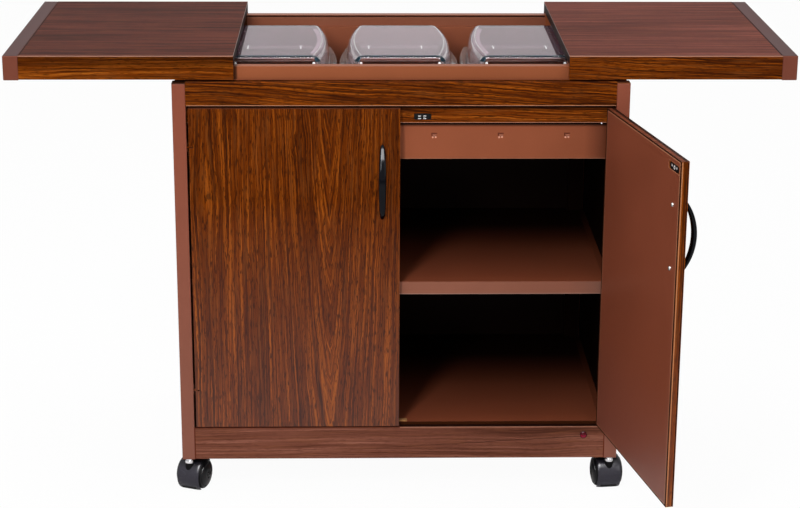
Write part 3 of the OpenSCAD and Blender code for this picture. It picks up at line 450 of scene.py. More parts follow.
FINISH = {
    "front_posts": paint_post, "back_posts": paint_post, "frame_rails": paint_post,
    "post_plugs": paint_rail, "side_panel_left": wood_side, "side_panel_right": wood_side,
    "back_panel": paint_back, "fascia": wood_front, "cross_rail": wood_rail,
    "plinth": wood_plinth, "floor_tray": paint_shelf, "shelf": paint_shelf,
    "tray_rails": paint_inside, "wiring_duct": paint_inside, "wiring": sleeve,
    "cable_gland": black_soft, "catches": black_soft, "door_buffer": felt,
    "indicator_lamp": black_gloss, "cabinet_screws": steel, "hinge_lugs": wood_door,
    "castor_sockets": black_soft, "castor_stems": steel, "tub_liner": paint_tub,
    "tub_casing": paint_casing, "insulation": wool, "heating_element": dull_steel,
    "thermostat": black_soft, "guide_rail_front": paint_rail,
    "guide_rail_back": paint_rail_back,
}
for side, top_wood, door_wood in (("left", wood_top_shaded, wood_door),
                                  ("right", wood_top, wood_door_turned)):
    leaf, door = "leaf_" + side, "door_" + side
    FINISH.update({leaf + "_board": top_wood, leaf + "_skirts": wood_front,
                   leaf + "_trim": paint_trim, leaf + "_runners": paint_rail,
                   door + "_panel": door_wood, door + "_handle": black_gloss,
                   door + "_screws": steel, door + "_striker": black_soft})
for k in "1234":
    FINISH.update({"castor_hood_" + k: grey_plastic, "castor_wheels_" + k: black_soft})
for place in ("left", "middle", "right"):
    FINISH.update({"dish_" + place: clear_glass, "lid_" + place: clear_glass})

# Radius of the softened edges, in millimetres
BEVELS = {
    "front_posts": 1.3, "back_posts": 1.3, "frame_rails": 1.5, "post_plugs": 0.4,
    "fascia": 0.8, "cross_rail": 0.7, "plinth": 0.8, "side_panel_left": 0.8,
    "side_panel_right": 0.8, "guide_rail_front": 0.5, "guide_rail_back": 0.5,
    "leaf_left_board": 0.8, "leaf_right_board": 0.8, "leaf_left_skirts": 0.6,
    "leaf_right_skirts": 0.6, "leaf_left_trim": 1.5, "leaf_right_trim": 1.5,
    "door_left_panel": 0.9, "door_right_panel": 0.9, "door_buffer": 0.6,
}
# Nodes whose softened edges are painted light as highlights
HIGHLIGHT_EDGES = {"door_left_panel", "door_right_panel", "side_panel_left", "side_panel_right"}


def facing(x, y, z, both=False):
    """A test that picks faces that look one way, or one way and the opposite one."""
    way = Vector((x, y, z))
    return lambda normal, place: (abs(normal.dot(way)) if both else normal.dot(way)) > 0.7


# Faces that differ from the rest of their node
ALONG_DOOR = (math.cos(DOOR_TURN), math.sin(DOOR_TURN), 0)
FACES = {
    "hinge_lugs": [(paint_post, lambda normal, place: abs(place.x) > 0.3355)],
    "door_left_panel": [(board_edge, facing(0, 0, 1)), (raw_edge, facing(0, 0, -1))],
    "door_right_panel": [(raw_edge, facing(0, 0, 1, True)),
                         (wood_edge, facing(*ALONG_DOOR, True))],
    # the plinth's top face is painted dark: painted shade
    "plinth": [(dark_line, facing(0, 0, 1))],
    "leaf_left_board": [(end_sheen_and_shade, facing(1, 0, 0))],
    "leaf_right_board": [(end_sheen_and_shade, facing(-1, 0, 0))],
    "shelf": [(paint_lip, facing(0, -1, 0))],
    "floor_tray": [(floor_lip_shade, facing(0, -1, 0))],
    "side_panel_left": [(inner_wall_shade, facing(1, 0, 0))],
    "side_panel_right": [(inner_wall_shade, facing(-1, 0, 0))],
    "leaf_left_trim": [(trim_top_sheen, facing(0, 0, 1))],
    "leaf_right_trim": [(trim_top_sheen, facing(0, 0, 1))],
}

for name, obj in nodes.items():
    mesh = obj.data
    mesh.materials.clear()
    mesh.materials.append(FINISH[name])
    for polygon in mesh.polygons:
        polygon.material_index = 0
    for mat, chosen in FACES.get(name, ()):
        mesh.materials.append(mat)
        for polygon in mesh.polygons:
            if chosen(polygon.normal, polygon.center):
                polygon.material_index = len(mesh.materials) - 1
    if name in BEVELS:
        weld = obj.modifiers.new("weld", "WELD")
        weld.merge_threshold = 1e-6
        bevel = obj.modifiers.new("bevel", "BEVEL")
        bevel.width = BEVELS[name] / 1000
        bevel.segments = 3
        bevel.limit_method = "ANGLE"
        bevel.angle_limit = math.radians(50)
        if name in HIGHLIGHT_EDGES:
            mesh.materials.append(highlight_line)
            bevel.material = len(mesh.materials) - 1


# Pieces

def spin(angle, x=0.0, y=0.0):
    """A turn by so many degrees about an upright line, for points in millimetres."""
    turn = Matrix.Rotation(math.radians(angle), 4, "Z")
    return Matrix.Translation((x, y, 0)) @ turn @ Matrix.Translation((-x, -y, 0))


STILL = Matrix.Identity(4)
MIRROR = Matrix.Diagonal((-1, 1, 1, 1))
SWING = spin(DOOR_ANGLE, *HINGE)  # from the closed right door to where it stands open


class Shape:
    """One piece, joined from grids of points in millimetres. A face's mark is the number of
    its material."""

    def __init__(self):
        self.points, self.faces, self.marks = [], [], []

    def grid(self, rows, mark=0, ring=True, caps=(False, False), keep=None):
        start, n = len(self.points), len(rows[0])
        self.points += [Vector(p) for row in rows for p in row]
        for i in range(len(rows) - 1):
            for j in range(n if ring else n - 1):
                if keep and not keep(i, j):
                    continue
                a, b = start + i * n + j, start + i * n + (j + 1) % n
                self.faces.append((a, b, b + n, a + n))
                self.marks.append(mark)
        for end, wanted in zip((0, len(rows) - 1), caps):
            if wanted:
                self.faces.append(tuple(start + end * n + j for j in range(n)))
                self.marks.append(mark)

    def lathe(self, profile, centre, axis, steps, mark=0, caps=(True, True)):
        """A turned form from (radius, place along the axis) pairs."""
        turns = [2 * math.pi * k / steps for k in range(steps)]
        rows = []
        for r, h in profile:
            row = [(r * math.cos(a), r * math.sin(a)) for a in turns]
            rows.append([Vector(centre) + Vector({"X": (h, c, s), "Y": (s, h, c),
                                                  "Z": (c, s, h)}[axis]) for c, s in row])
        self.grid(rows, mark, True, caps)

    def bar(self, section, low, high, mark):
        """A bar along X with the given (y, z) section."""
        rows = [[(x, y, z) for y, z in section] for x in (low, high)]
        self.grid(rows, mark, True, (True, True))

    def pad(self, x, z, y0, y1, radius, edge, mark=0):
        """A rounded plate in the XZ plane from y0, its flat back, to y1, its softened face."""
        cx, cz = (x[0] + x[1]) / 2, (z[0] + z[1]) / 2
        hx, hz = (x[1] - x[0]) / 2, (z[1] - z[0]) / 2
        way = 1 if y0 > y1 else -1
        levels = [(0, y0), (0, y1 + (y0 - y1) * min(1.0, edge / abs(y0 - y1)))]
        levels += [(edge * (1 - math.cos(a)), y1 + (edge * (1 - math.sin(a))) * way)
                   for a in (math.pi / 6, math.pi / 3, math.pi / 2)]
        rows = []
        for inset, y in levels:
            r = max(radius - inset, 0.2)
            row = []
            for quarter in range(4):
                sx, sz = (1, -1, -1, 1)[quarter], (1, 1, -1, -1)[quarter]
                for k in range(5):
                    a = math.pi / 2 * (quarter + k / 4)
                    row.append((cx + sx * (hx - inset - r) + r * math.cos(a), y,
                                cz + sz * (hz - inset - r) + r * math.sin(a)))
            rows.append(row)
        self.grid(rows, mark, True, (True, True))

    def remark(self, choose, first=0):
        """Give faces the mark that a function of their corners and their middle returns."""
        for number in range(first, len(self.faces)):
            corners = [self.points[i] for i in self.faces[number]]
            mark = choose(corners, sum(corners, Vector()) / len(corners))
            if mark is not None:
                self.marks[number] = mark

    def build(self, name, mats, body, move=STILL, replaces=(), crease=38):
        mesh = bpy.data.meshes.new(name)
        mesh.from_pydata([at(*(move @ p)) for p in self.points], [], self.faces)
        for mat in mats:
            mesh.materials.append(mat)
        for polygon, mark in zip(mesh.polygons, self.marks):
            polygon.material_index = mark
        joined = bmesh.new()
        joined.from_mesh(mesh)
        bmesh.ops.remove_doubles(joined, verts=joined.verts, dist=1e-6)
        bmesh.ops.recalc_face_normals(joined, faces=joined.faces)
        joined.to_mesh(mesh)
        joined.free()
        mesh.shade_smooth()
        mesh.set_sharp_from_angle(angle=math.radians(crease))
        obj = add_object(name, mesh)
        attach(obj, body)
        if replaces:
            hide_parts(*replaces)


def power(value, exponent):
    """A power that keeps the sign. It makes a round outline squarer."""
    return math.copysign(abs(value) ** exponent, value)


def make_handle(side, move):
    """A bow that is widest in its middle and tapers to round ends, on two feet."""
    s = Shape()
    # the arc's radius, its centre behind the door's face and half its angle
    bow_r, bow_y, half = 91.1, 68.5, math.radians(41.9)
    half_w, half_t, steps = 5.9, 3.6, 48
    rows = []
    for i in range(steps + 1):
        t = math.sin(math.pi / 2 * (2 * i / steps - 1))
        a = half * t
        left = max(1 - t * t, 0.0)
        wide = half_w * left ** 0.35 + 0.05
        thick = half_t * left ** 0.22 * (1 - 0.18 * t * t) + 0.05
        row = []
        for b in (2 * math.pi * k / 24 for k in range(24)):
            r = bow_r + thick * power(math.sin(b), 0.5)
            row.append((HANDLE_X + wide * power(math.cos(b), 0.8),
                        min(bow_y - r * math.cos(a), -0.05), HANDLE_Z + r * math.sin(a)))
        rows.append(row)
    s.grid(rows, caps=(True, True))
    for dz in (-HANDLE_SPAN / 2, HANDLE_SPAN / 2):
        s.lathe([(4.4, -0.05), (4.0, -1.0), (3.6, -4.0), (3.6, -9.5)],
                (HANDLE_X, 0, HANDLE_Z + dz), "Y", 24)
    s.build("handle_" + side, [black_gloss], side + "_door", move,
            ["door_" + side + "_handle"], crease=60)


def make_skin(side, move):
    """Painted inner face of a door: a sheet with a painted highlight for its rim inside a
    line of painted shade, open at the striker."""
    s = Shape()

    def rim(x, z, inner, y0, y1, mark):
        """A frame that runs from a rectangle inward, and from y0 to y1."""
        (xa, xb), (za, zb), (ix, iz) = x, z, inner
        s.grid([[(xa, y0, za), (xb, y0, za), (xb, y0, zb), (xa, y0, zb)],
                [(xa + ix, y1, za + iz), (xb - ix, y1, za + iz),
                 (xb - ix, y1, zb - iz), (xa + ix, y1, zb - iz)]], mark)

    # A line of painted shade round the sheet, inside it a rim of painted highlight, and the same
    # highlight round the opening
    rim((1.95, 332.6), (116.8, 650.2), (4.6, 2.2), 12.03, 12.03, 1)
    rim((6.4, 328.9), (118.9, 648.1), (1.6, 1.2), 12.04, SKIN_Y, 2)
    opening_x, opening_z = (10.0, 52.2), (628.6, 641.4)
    xs, zs = (8.0, *opening_x, 327.3), (120.1, *opening_z, 646.9)
    s.grid([[(x, SKIN_Y, z) for x in xs] for z in zs], 0, False,
           keep=lambda i, j: (i, j) != (1, 1))
    (xa, xb), (za, zb) = opening_x, opening_z
    middle_x, ring = 31.1, [(xa, za), (xb, za), (xb, zb), (xa, zb)]
    s.grid([[(x, SKIN_Y, z) for x, z in ring],
            [(middle_x + (x - middle_x) * 0.965, 12.02, STRIKER_Z + (z - STRIKER_Z) * 0.9)
             for x, z in ring]], 2)
    if side == "right":  # its edges, which show because it stands open, with a painted highlight and painted shade
        for low, high, mark in ((9.6, 11.2, 3), (0.9, 2.6, 1)):
            s.grid([[(1.73, y, z) for y in (low, high)] for z in (117.4, 649.6)], mark, False)
        s.grid([[(x, y, 650.52) for y in (5.6, 11.2)] for x in (2.6, 332.0)], 4, False)
    s.build("inner_face_" + side, [paint_skin, dark_line, highlight_line, tan_highlight, board_edge],
            side + "_door", move)


def make_fittings(side, move):
    """The striker plate with its screw and rivets, and the domed heads of the handle's
    screws. The plate's heads are flat, so that the door can shut against the catch."""
    s = Shape()
    s.pad((10.8, 48.6), (629.6, 640.4), 11.4, 12.1, 5.3, 0.5)
    # the screw's rim and the rivets in pale paint: a painted reflection of their steel
    s.lathe([(3.3, 11.6), (3.3, 12.11), (2.6, 12.16), (0.0, 12.18)],
            (STRIKER_X, 0, STRIKER_Z), "Y", 20, 1)
    s.lathe([(1.3, 12.1), (1.2, 12.2), (0.0, 12.21)], (STRIKER_X, 0, STRIKER_Z), "Y", 16)
    for dx in (-9.8, 9.8):
        s.lathe([(1.9, 11.6), (1.9, 12.11), (1.2, 12.16), (0.0, 12.18)],
                (STRIKER_X + dx, 0, STRIKER_Z + 0.9), "Y", 16, 1)
    s.build("striker_" + side, [black_matt, rivet_sheen], side + "_door", move,
            ["door_" + side + "_striker"])
    s = Shape()
    for z in (HANDLE_Z - HANDLE_SPAN / 2, HANDLE_Z + HANDLE_SPAN / 2):
        s.lathe([(2.0, -7), (2.0, 12.0), (3.1, 12.05), (3.1, 12.9), (2.9, 13.6), (2.3, 14.2),
                 (1.3, 14.55), (0.0, 14.65)], (HANDLE_X, 0, z), "Y", 24)
        for a in (math.radians(45), math.radians(135)):  # the cross in the head
            c, d = math.cos(a), math.sin(a)
            arm = [(1.7, 0.25), (-1.7, 0.25), (-1.7, -0.25), (1.7, -0.25)]
            s.grid([[(HANDLE_X + p * c - q * d, y, z + p * d + q * c) for p, q in arm]
                    for y in (14.0, 14.67)], 1, True, (True, True))
    s.build("screw_heads_" + side, [dull_steel, black_matt], side + "_door",
            move, ["door_" + side + "_screws"])


def make_castor(k, side, turn, spot):
    """A twin-wheel castor: a curved hood on a web, a boss for the stem, and two domed
    wheels."""
    move = Matrix.Translation((*spot, 0)) @ spin(turn)
    ax, az = 17.5, 25.0  # the axle, behind the stem and above the floor
    wheel_r = az
    start, arc, steps = 40, 196, 49  # the hood's degrees about the axle
    flat = 180  # from here on its radius grows

    def sweep(s, section, mark, flare):
        """A section of (x, radius) pairs, swept about the axle, its low middle black: painted
        shade.
        """
        rows = []
        for i in range(steps + 1):
            turned = start + arc * i / steps
            more = flare * max(0.0, (turned - flat) / (start + arc - flat))
            a = math.radians(turned)
            rows.append([(x, ax + (r + more) * math.cos(a), az + (r + more) * math.sin(a))
                         for x, r in section])
        first = len(s.faces)
        s.grid(rows, mark, True, (True, True))
        s.remark(lambda corners, mid: 1 if mid.z < 9.0 and abs(mid.x) < 11 else None, first)

    s = Shape()
    half = [(0, 27.6), (8, 27.6), (13.5, 27.5), (16.5, 27.2), (18.3, 26.7), (19.2, 26.1),
            (19.4, 25.5)]
    outer = [(-x, r) for x, r in reversed(half[1:])] + half
    sweep(s, outer + [(18.5, 25.42), (-18.5, 25.42)], 0, 1.2)
    sweep(s, [(-8.9, 5.0), (-8.9, 26.4), (8.9, 26.4), (8.9, 5.0)], 1, 0.0)
    s.lathe([(5.9, -8.8), (5.9, 8.8)], (0, ax, az), "X", 24, 1)
    s.lathe([(5.4, 28.0), (6.9, 28.0), (6.9, 47.6), (6.9, 48.9), (6.6, 49.6), (6.0, 49.8)],
            (0, 0, 0), "Z", 36, 1)
    s.build("hood_" + k, [grey_plastic, black_matt], side + "_castor", move,
            ["castor_hood_" + k])

    s = Shape()
    turns = (math.radians(a) for a in range(0, 75, 6))
    dome = []
    for r, x in [(wheel_r * math.cos(b), 17.8 + 8.4 * math.sin(b)) for b in turns]:
        if 19.0 < r < 20.9:  # a groove round the wheel's face
            dome += [(r + 0.7, x - 0.1), (r + 0.4, x - 0.9), (r - 0.4, x - 0.7),
                     (r - 0.7, x + 0.15)]
        else:
            dome.append((r, x))
    hub = [(7.2, 25.7), (6.8, 24.9), (3.4, 24.9), (3.0, 25.5), (0.0, 25.9)]
    profile = [(2.2, 9.4), (wheel_r - 0.7, 9.4), (wheel_r, 10.1)] + dome + hub
    for way in (-1, 1):
        first = len(s.faces)
        s.lathe([(r, way * x) for r, x in profile], (0, ax, az), "X", 56)
        # The dome's outer band, next to the hood, is matt black: painted shade in the gap between
        # wheel and hood.
        s.remark(lambda corners, mid: 2 if 17.8 < abs(mid.x) < 21.0 else None, first)
        s.lathe([(21.2, way * 9.3), (9.0, way * 9.3)], (0, ax, az), "X", 40, 0, (False, False))
    s.lathe([(2.0, -9.6), (2.0, 9.6)], (0, ax, az), "X", 20, 1)
    s.build("wheels_" + k, [black_soft, steel, black_matt], side + "_wheels",
            move, ["castor_wheels_" + k])


def outline(w, l, bow, r, z, cx):
    """One level of a dish or lid: straight ends, bowed long sides and round corners."""
    hx, hy = w / 2 - bow - r, l / 2 - r
    side = [(w / 2 - bow * t * t, t * hy) for t in (i / 12 for i in range(13))]
    side += [(hx + r * math.cos(a), hy + r * math.sin(a))
             for a in (math.pi / 2 * i / 8 for i in range(1, 9))]
    end = [(hx * (1 - i / 6), l / 2) for i in range(1, 6)]
    half = side + end + [(-x, y) for x, y in reversed(side)]
    half = [(round(x, 5), round(y, 5)) for x, y in half]
    return [(cx + x, MIDDLE + y, z) for x, y in half + [(-x, -y) for x, y in half[1:-1]]]


# Levels of a dish and of a lid, inside too: width, length, bow, corner radius, height
DISH_LEVELS = [
    (162, 254, 12, 8, 0.0), (162, 254, 12, 10, 0.8), (166, 258, 12, 12, 4.0),
    (171, 263, 12, 14, 20.0), (176, 268, 12, 15, 50.0), (179, 271, 12, 15, 55.0),
    (196, 288, 11, 15, 56.6), (198, 290, 11, 16, 58.8), (197, 289, 11, 16, 60.6),
    (194, 286, 11, 15, 61.0), (174, 266, 12, 14, 61.0), (170, 262, 12, 13, 59.5),
    (166, 258, 12, 12, 50.0), (160, 252, 12, 11, 14.0), (156, 248, 12, 10, 7.0),
    (148, 240, 12, 8, 4.6)]
LID_LEVELS = [
    (132, 222, 12, 3, 35.5), (145, 235, 12, 4, 35.5), (150, 240, 12, 4.5, 35.2),
    (153.5, 243.5, 11.6, 5, 33.6), (156, 247, 11, 6, 29.0), (160, 250, 9.5, 8, 20.0),
    (164, 254, 8, 9, 8.0), (165, 257, 7, 10, 0.0), (174, 266, 7, 12, 0.0),
    (174, 266, 7, 12, 3.4), (173.4, 264, 7, 12, 4.2), (172.2, 262, 7.5, 11.5, 12.0),
    (169.6, 259.6, 8.5, 10, 22.0), (166.8, 257, 10, 8, 31.0), (164.6, 256.2, 10.5, 7.4, 33.6),
    (161.8, 255.6, 11, 7, 35.9), (158.4, 255, 11.2, 6.6, 37.6), (154.4, 254.2, 11.5, 6.2, 38.8),
    (150.0, 252.6, 11.8, 5.6, 39.6), (146.0, 249.6, 12, 4.8, 40.0), (136, 239, 12, 4, 40.0)]
LID_FRONT = MIDDLE - 120  # what lies before this is a lid's front face
LID_TOP = 40.0
EDGE, FRONT_FACE, GLINT, LINE, SIDE = range(1, 6)  # marks of a lid's materials but the first


def make_dish(place, body, cx):
    """A glass dish with a milky rim."""
    s = Shape()
    s.grid([outline(w, l, bow, r, DISH_Z + h, cx) for w, l, bow, r, h in DISH_LEVELS],
           caps=(True, True))
    s.remark(lambda corners, mid: 1 if min(p.z for p in corners) > DISH_Z + 54.5 else None)
    s.build("glass_dish_" + place, [clear_glass, rim_glass], body, STILL,
            ["dish_" + place], crease=50)


def make_lid(place, body, cx, lean):
    """A lid with the photograph's highlights as small marks on the glass. Those on its top
    are shifted by lean."""
    s = Shape()
    s.grid([outline(w, l, bow, r, LID_Z + h, cx) for w, l, bow, r, h in LID_LEVELS],
           caps=(True, True))

    def kind(corners, mid):
        h, dx = mid.z - LID_Z, abs(mid.x - cx)
        if mid.y < LID_FRONT and 3 < h < LID_TOP:  # its front, browner as painted shade, and the front's dark edge
            return EDGE if h > 38.6 or h > 31.5 and dx > 64 else FRONT_FACE
        if 39.2 < h < 39.9:  # the line round its top, a painted highlight
            return LINE
        if 3 < h < 38.0 and dx > 60:  # its long sides, paler as a painted highlight
            return SIDE
        return None

    s.remark(kind)
    for dx in (-43, 43):
        x = cx + dx + lean
        s.lathe([(1.3, 39.9), (1.2, 40.5), (0.7, 40.9), (0.0, 41.0)], (x, MIDDLE - 65, LID_Z),
                "Z", 16, GLINT)
        for a, b in ((4.0, 0.3), (0.3, 7.0)):
            cross = [(x + a, b), (x - a, b), (x - a, -b), (x + a, -b)]
            s.grid([[(p, MIDDLE - 50 + q, LID_Z + h) for p, q in cross]
                    for h in (39.9, 40.06)], GLINT, True, (True, True))
        s.lathe([(2.3, 0.0), (2.2, -0.9), (1.4, -1.7), (0.0, -2.0)],
                (cx + dx * 1.46, 98.4, LID_Z + 28.6), "Y", 16, GLINT)
    body_glass = lid_glass if place == "middle" else shaded_lid_glass
    s.build("glass_lid_" + place,
            [body_glass, edge_glass, front_glass, glint, lid_highlight_line, side_glass], body,
            STILL, ["lid_" + place], crease=50)


def make_catches():
    """Two catches, each with four steel contacts on its face."""
    s = Shape()
    for x in (-33.5, 33.5):
        s.pad((x - 13.5, x + 13.5), (629.8, 639.2), 20.4, 12.35, 3.6, 0.6)
        for px in (x - 4.7, x + 3.5):
            for z in (635.8, 631.8):
                s.pad((px - 2.4, px + 2.4), (z - 0.9, z + 0.9), 12.6, 12.26, 0.6, 0.1, 1)
    s.build("catch_bodies", [black_matt, dull_steel], "cabinet", STILL,
            ["catches"])


def make_pins():
    """Heads of the hinge pins, showing in the gap beside each door, and the board rail's
    screw."""
    s = Shape()
    for x in (-335.6, 335.6):
        for z in (179.5, 587.5):
            s.lathe([(0.8, 7.0), (0.8, 4.2), (0.5, 3.9), (0.0, 3.8)], (x, 0, z), "Y", 16)
    s.build("pin_heads", [steel], "cabinet")
    s = Shape()
    s.lathe([(1.9, 20.0), (1.9, 12.8), (1.5, 12.55), (0.0, 12.42)], (316, 0, 624.6), "Y", 20)
    s.build("rail_rivet", [steel], "cabinet")


def make_edge_lines():
    """Thin lines along the cabinet's front edges: painted highlights and painted shade."""
    s = Shape()
    # The board rail's lower edge: a painted highlight
    s.bar([(12.46, 625.9), (12.46, 625.2), (12.7, 624.97), (13.2, 624.97), (13.2, 625.9)],
          -335.5, 335.5, 0)
    # The plinth's upper edge: a painted highlight on the right, painted shade on the left
    s.bar([(-0.04, 113.3), (-0.04, 114.1), (0.3, 114.52), (2.6, 114.52), (2.6, 113.3)],
          0.0, POST_INNER, 1)
    s.bar([(-0.04, 113.9), (-0.04, 114.4), (0.1, 114.52), (9.0, 114.52), (9.0, 113.9)],
          -POST_INNER, 0.0, 2)
    # The fascia's lower edge: a painted highlight
    s.bar([(-0.04, 656.1), (-0.04, 655.3), (0.2, 654.97), (2.0, 654.97), (2.0, 656.1)],
          -POST_INNER, POST_INNER, 0)
    # The casing's lower edge: a painted highlight
    s.bar([(20.93, 565.2), (20.93, 564.5), (21.2, 564.26), (22.0, 564.26), (22.0, 565.2)],
          2.0, 330.5, 3)
    # The posts' inner edges, beside the plinth: painted shade in the joints
    for x in (-336.0, 336.0):
        s.grid([[(x + d, -0.05, z) for d in (-0.8, 0.8)] for z in (60.2, 114.3)], 2, False)
    s.build("edge_lines", [highlight_line, plinth_highlight, press_shade, rim_highlight], "cabinet")


def make_lamp():
    """The indicator lamp: a ring, a domed lens, a stem and its nut."""
    centre = (302, 0, 100)
    s = Shape()
    s.lathe([(6.1, 0.0), (6.1, -0.6), (5.8, -0.9), (5.4, -0.9), (5.2, -0.5)], centre, "Y", 36,
            1, (True, False))
    s.lathe([(5.2, -0.6), (4.9, -1.3), (4.1, -1.9), (2.8, -2.3), (1.3, -2.45), (0.0, -2.5)],
            centre, "Y", 36)
    s.lathe([(4.0, 0.0), (4.0, 30.0)], centre, "Y", 24, 1)
    s.lathe([(6.5, 12.6), (6.5, 15.4)], centre, "Y", 6, 1)
    s.build("lamp", [red_lens, lens_ring], "cabinet", STILL, ["indicator_lamp"])


def make_dimples():
    """Pressed squares along the front of the tub's casing, each with painted shade along its
    upper and left edges and two small painted highlights."""
    s = Shape()
    middle_z, half = 602, 3.7
    for x0 in (-262.5, -157.5, -52.5, 52.5, 157.5, 262.5):
        rows = []
        for p in (i / 8 - 1 for i in range(17)):
            row = []
            for q in (j / 8 - 1 for j in range(17)):
                corner = min((p ** 6 + q ** 6) ** (1 / 6), 1.25)
                t = min(max((1.0 - corner) / 0.34, 0.0), 1.0)
                inside = max(abs(p), abs(q)) < 1
                lip = 0.10 * math.exp(-((corner - 0.95) / 0.06) ** 2) if inside else 0.0
                row.append((x0 + half * q, 20.98 - lip + 0.45 * t * t * (3 - 2 * t),
                            middle_z + half * p))
            rows.append(row)
        s.grid(rows, ring=False)
        # painted shade along the top and left edges
        for x, z in (((-4.6, 4.6), (2.8, 4.6)), ((-4.6, -2.8), (-0.4, 4.6))):
            s.grid([[(x0 + p, 20.96, middle_z + q) for p in x] for q in z], 1, False)
        # two painted highlights on the lower lip
        for dx, dz in ((-2.4, -2.9), (2.2, -2.6)):
            s.lathe([(1.5, 20.95), (1.3, 20.78), (0.7, 20.68), (0.0, 20.65)],
                    (x0 + dx, 0, middle_z + dz), "Y", 12, 2)
    s.build("pressed_squares", [paint_press, press_shade, press_glint], "cabinet",
            STILL, crease=80)


def make_leaf_face(side, move):
    """Wood face over the edge of the board and the skirt, front and back, with a painted highlight
    along its top, and a line of painted shade in the joint between the board and the end trim."""
    low, high = 697.1, 733.0  # the wood's lower edge, and where the painted highlight begins
    wood_section = [(-0.3, low), (-0.3, high), (0.0, high), (0.0, low)]
    highlight_section = [(-0.3, high), (-0.26, 734.0), (-0.05, 734.35), (0.3, 734.55),
                    (0.85, 734.58), (0.9, 734.3), (0.0, high)]
    s = Shape()
    for section, mark in ((wood_section, 0), (highlight_section, 1)):
        s.bar(section, *LEAF_ENDS, mark)
    for section, mark in ((wood_section, 0), (highlight_section, 1)):
        s.bar([(DEPTH - y, z) for y, z in section], *LEAF_ENDS, mark)
    s.build("leaf_face_" + side, [wood_front_lit if side == "left" else wood_front, rim_highlight],
            side + "_leaf", move, crease=50)
    # A dark strip in the joint between the board and the end trim: painted shade.
    inner, outer = LEAF_ENDS[1] - 1.7, LEAF_ENDS[1]
    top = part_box("leaf_" + side + "_board")[1].z * 1000
    section = [(inner, top - 0.9), (outer, top - 0.9), (outer, top + 0.05), (inner, top + 0.05)]
    s = Shape()
    s.grid([[(x, y, z) for x, z in section] for y in (0.9, DEPTH - 0.9)], caps=(True, True))
    s.build("leaf_seam_" + side, [dark_line], side + "_leaf", move)


for side, move in (("left", MIRROR), ("right", SWING)):
    make_handle(side, move)
    make_skin(side, move)
    make_fittings(side, move)
CASTORS = (("1", "front_left", -22, (-347, 10.5)), ("2", "front_right", 6, (347, 10.5)),
           ("3", "back_left", 168, (-347, 443.5)), ("4", "back_right", 197, (347, 443.5)))
for castor in CASTORS:
    make_castor(*castor)
for place, dish_body, lid_body, cx, lean in (
        ("left", "cabinet", "cabinet", -DISH_PITCH, -2.5),
        ("middle", "middle_dish", "middle_lid", 0.0, -7.0),
        ("right", "cabinet", "cabinet", DISH_PITCH, -5.0)):
    make_dish(place, dish_body, cx)
    make_lid(place, lid_body, cx, lean)
make_catches()
make_pins()
make_edge_lines()
make_lamp()
make_dimples()
for side, move in (("left", MIRROR), ("right", STILL)):
    make_leaf_face(side, move)


# Floor, light and camera

def make_floor():
    """A white floor, which the camera sees as pale as the background."""
    mesh = bpy.data.meshes.new("floor")
    mesh.from_pydata([(-9, -9, 0), (9, -9, 0), (9, 9, 0), (-9, 9, 0)], [], [(0, 1, 2, 3)])
    s = Shader("floor_white", Roughness=0.9, Specular_IOR_Level=0.0)
    s.bsdf.inputs["Base Color"].default_value = (0.97, 0.97, 0.97, 1)
    glow = s.node("Emission", {"Color": (1, 1, 1, 1), "Strength": 1.0})
    path = s.node("LightPath")
    share = s.math("MULTIPLY", path.outputs["Is Camera Ray"], 0.96)
    blend = s.node("MixShader", {0: share, 1: s.bsdf.outputs[0], 2: glow.outputs[0]})
    out = s.tree.nodes["Material Output"]
    s.tree.links.new(blend.outputs[0], out.inputs["Surface"])
    mesh.materials.append(s.mat)
    add_object("floor", mesh)


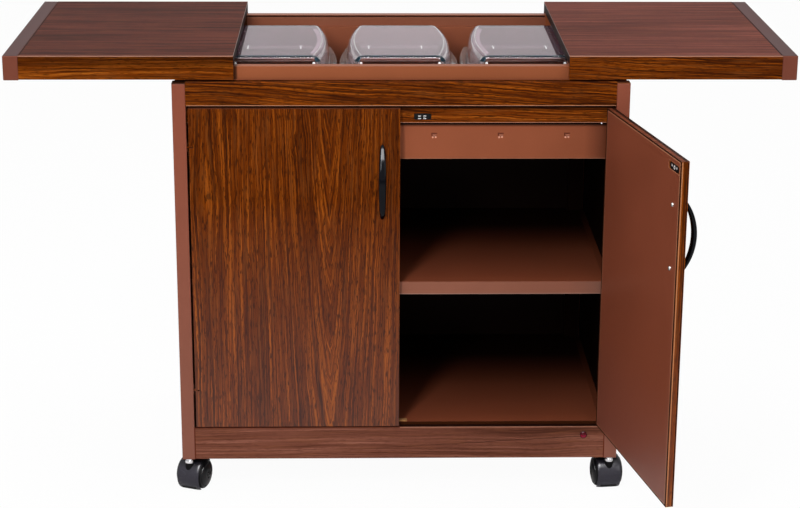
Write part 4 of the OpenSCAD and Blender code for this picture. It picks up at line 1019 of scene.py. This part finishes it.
def make_world():
    """Plain white, at full strength for the camera, gloss and glass, and softer as light."""
    world = bpy.data.worlds.new("studio")
    world.use_nodes = True
    tree = world.node_tree
    path = add_node(tree, "LightPath").outputs
    shine = add_node(tree, "Math", {0: path["Is Glossy Ray"], 1: path["Is Transmission Ray"]},
                     operation="MAXIMUM")
    seen = add_node(tree, "Math", {0: path["Is Camera Ray"], 1: shine.outputs[0]},
                    operation="MAXIMUM")
    strength = add_node(tree, "MapRange", {"Value": seen.outputs[0], "To Min": 0.42,
                                           "To Max": 1.0})
    back = tree.nodes["Background"]
    back.inputs["Color"].default_value = (1, 1, 1, 1)
    tree.links.new(strength.outputs[0], back.inputs["Strength"])
    bpy.context.scene.world = world


def area_light(name, place, aim_z, size, watts, gloss_only=False):
    light = bpy.data.lights.new(name, "AREA")
    light.shape = "RECTANGLE"
    light.size, light.size_y = size
    light.energy = watts
    obj = add_object(name, light)
    obj.visible_diffuse = obj.visible_transmission = not gloss_only
    obj.location = place
    way = Vector((0, 0, aim_z)) - Vector(place)
    obj.rotation_euler = way.to_track_quat("-Z", "Y").to_euler()


def make_camera():
    """The photograph's camera, as fitted to its outline points."""
    data = bpy.data.cameras.new("camera")
    data.lens = 91.74
    data.sensor_width = 36
    data.sensor_fit = "HORIZONTAL"
    data.clip_end = 60
    obj = add_object("camera", data)
    yaw, pitch, roll = (math.radians(a) for a in (-1.2646, -17.651, -0.266))
    turn = (Matrix.Rotation(yaw, 4, "Z") @ Matrix.Rotation(pitch, 4, "X")
            @ Matrix.Rotation(roll, 4, "Y"))
    stand = Matrix.Rotation(math.pi / 2, 4, "X")
    place = at(-69.65, -3099.8, 1399.3)
    obj.matrix_world = Matrix.Translation(place) @ turn @ stand
    bpy.context.scene.camera = obj


make_floor()
make_world()
# Place, height aimed at, size and watts. The spark makes the handles' and screws' highlights.
area_light("key", (-0.85, -2.5, 2.25), 0.5, (0.45, 1.8), 60)
area_light("spark", (0.0, -1.75, 2.9), 0.5, (2.0, 1.5), 330, gloss_only=True)
area_light("fill", (2.2, -2.0, 1.5), 0.4, (1.6, 1.6), 25)
area_light("top", (0.0, 0.4, 2.6), 0.5, (2.6, 1.6), 26)
make_camera()
bpy.context.scene.view_settings.view_transform = "Standard"
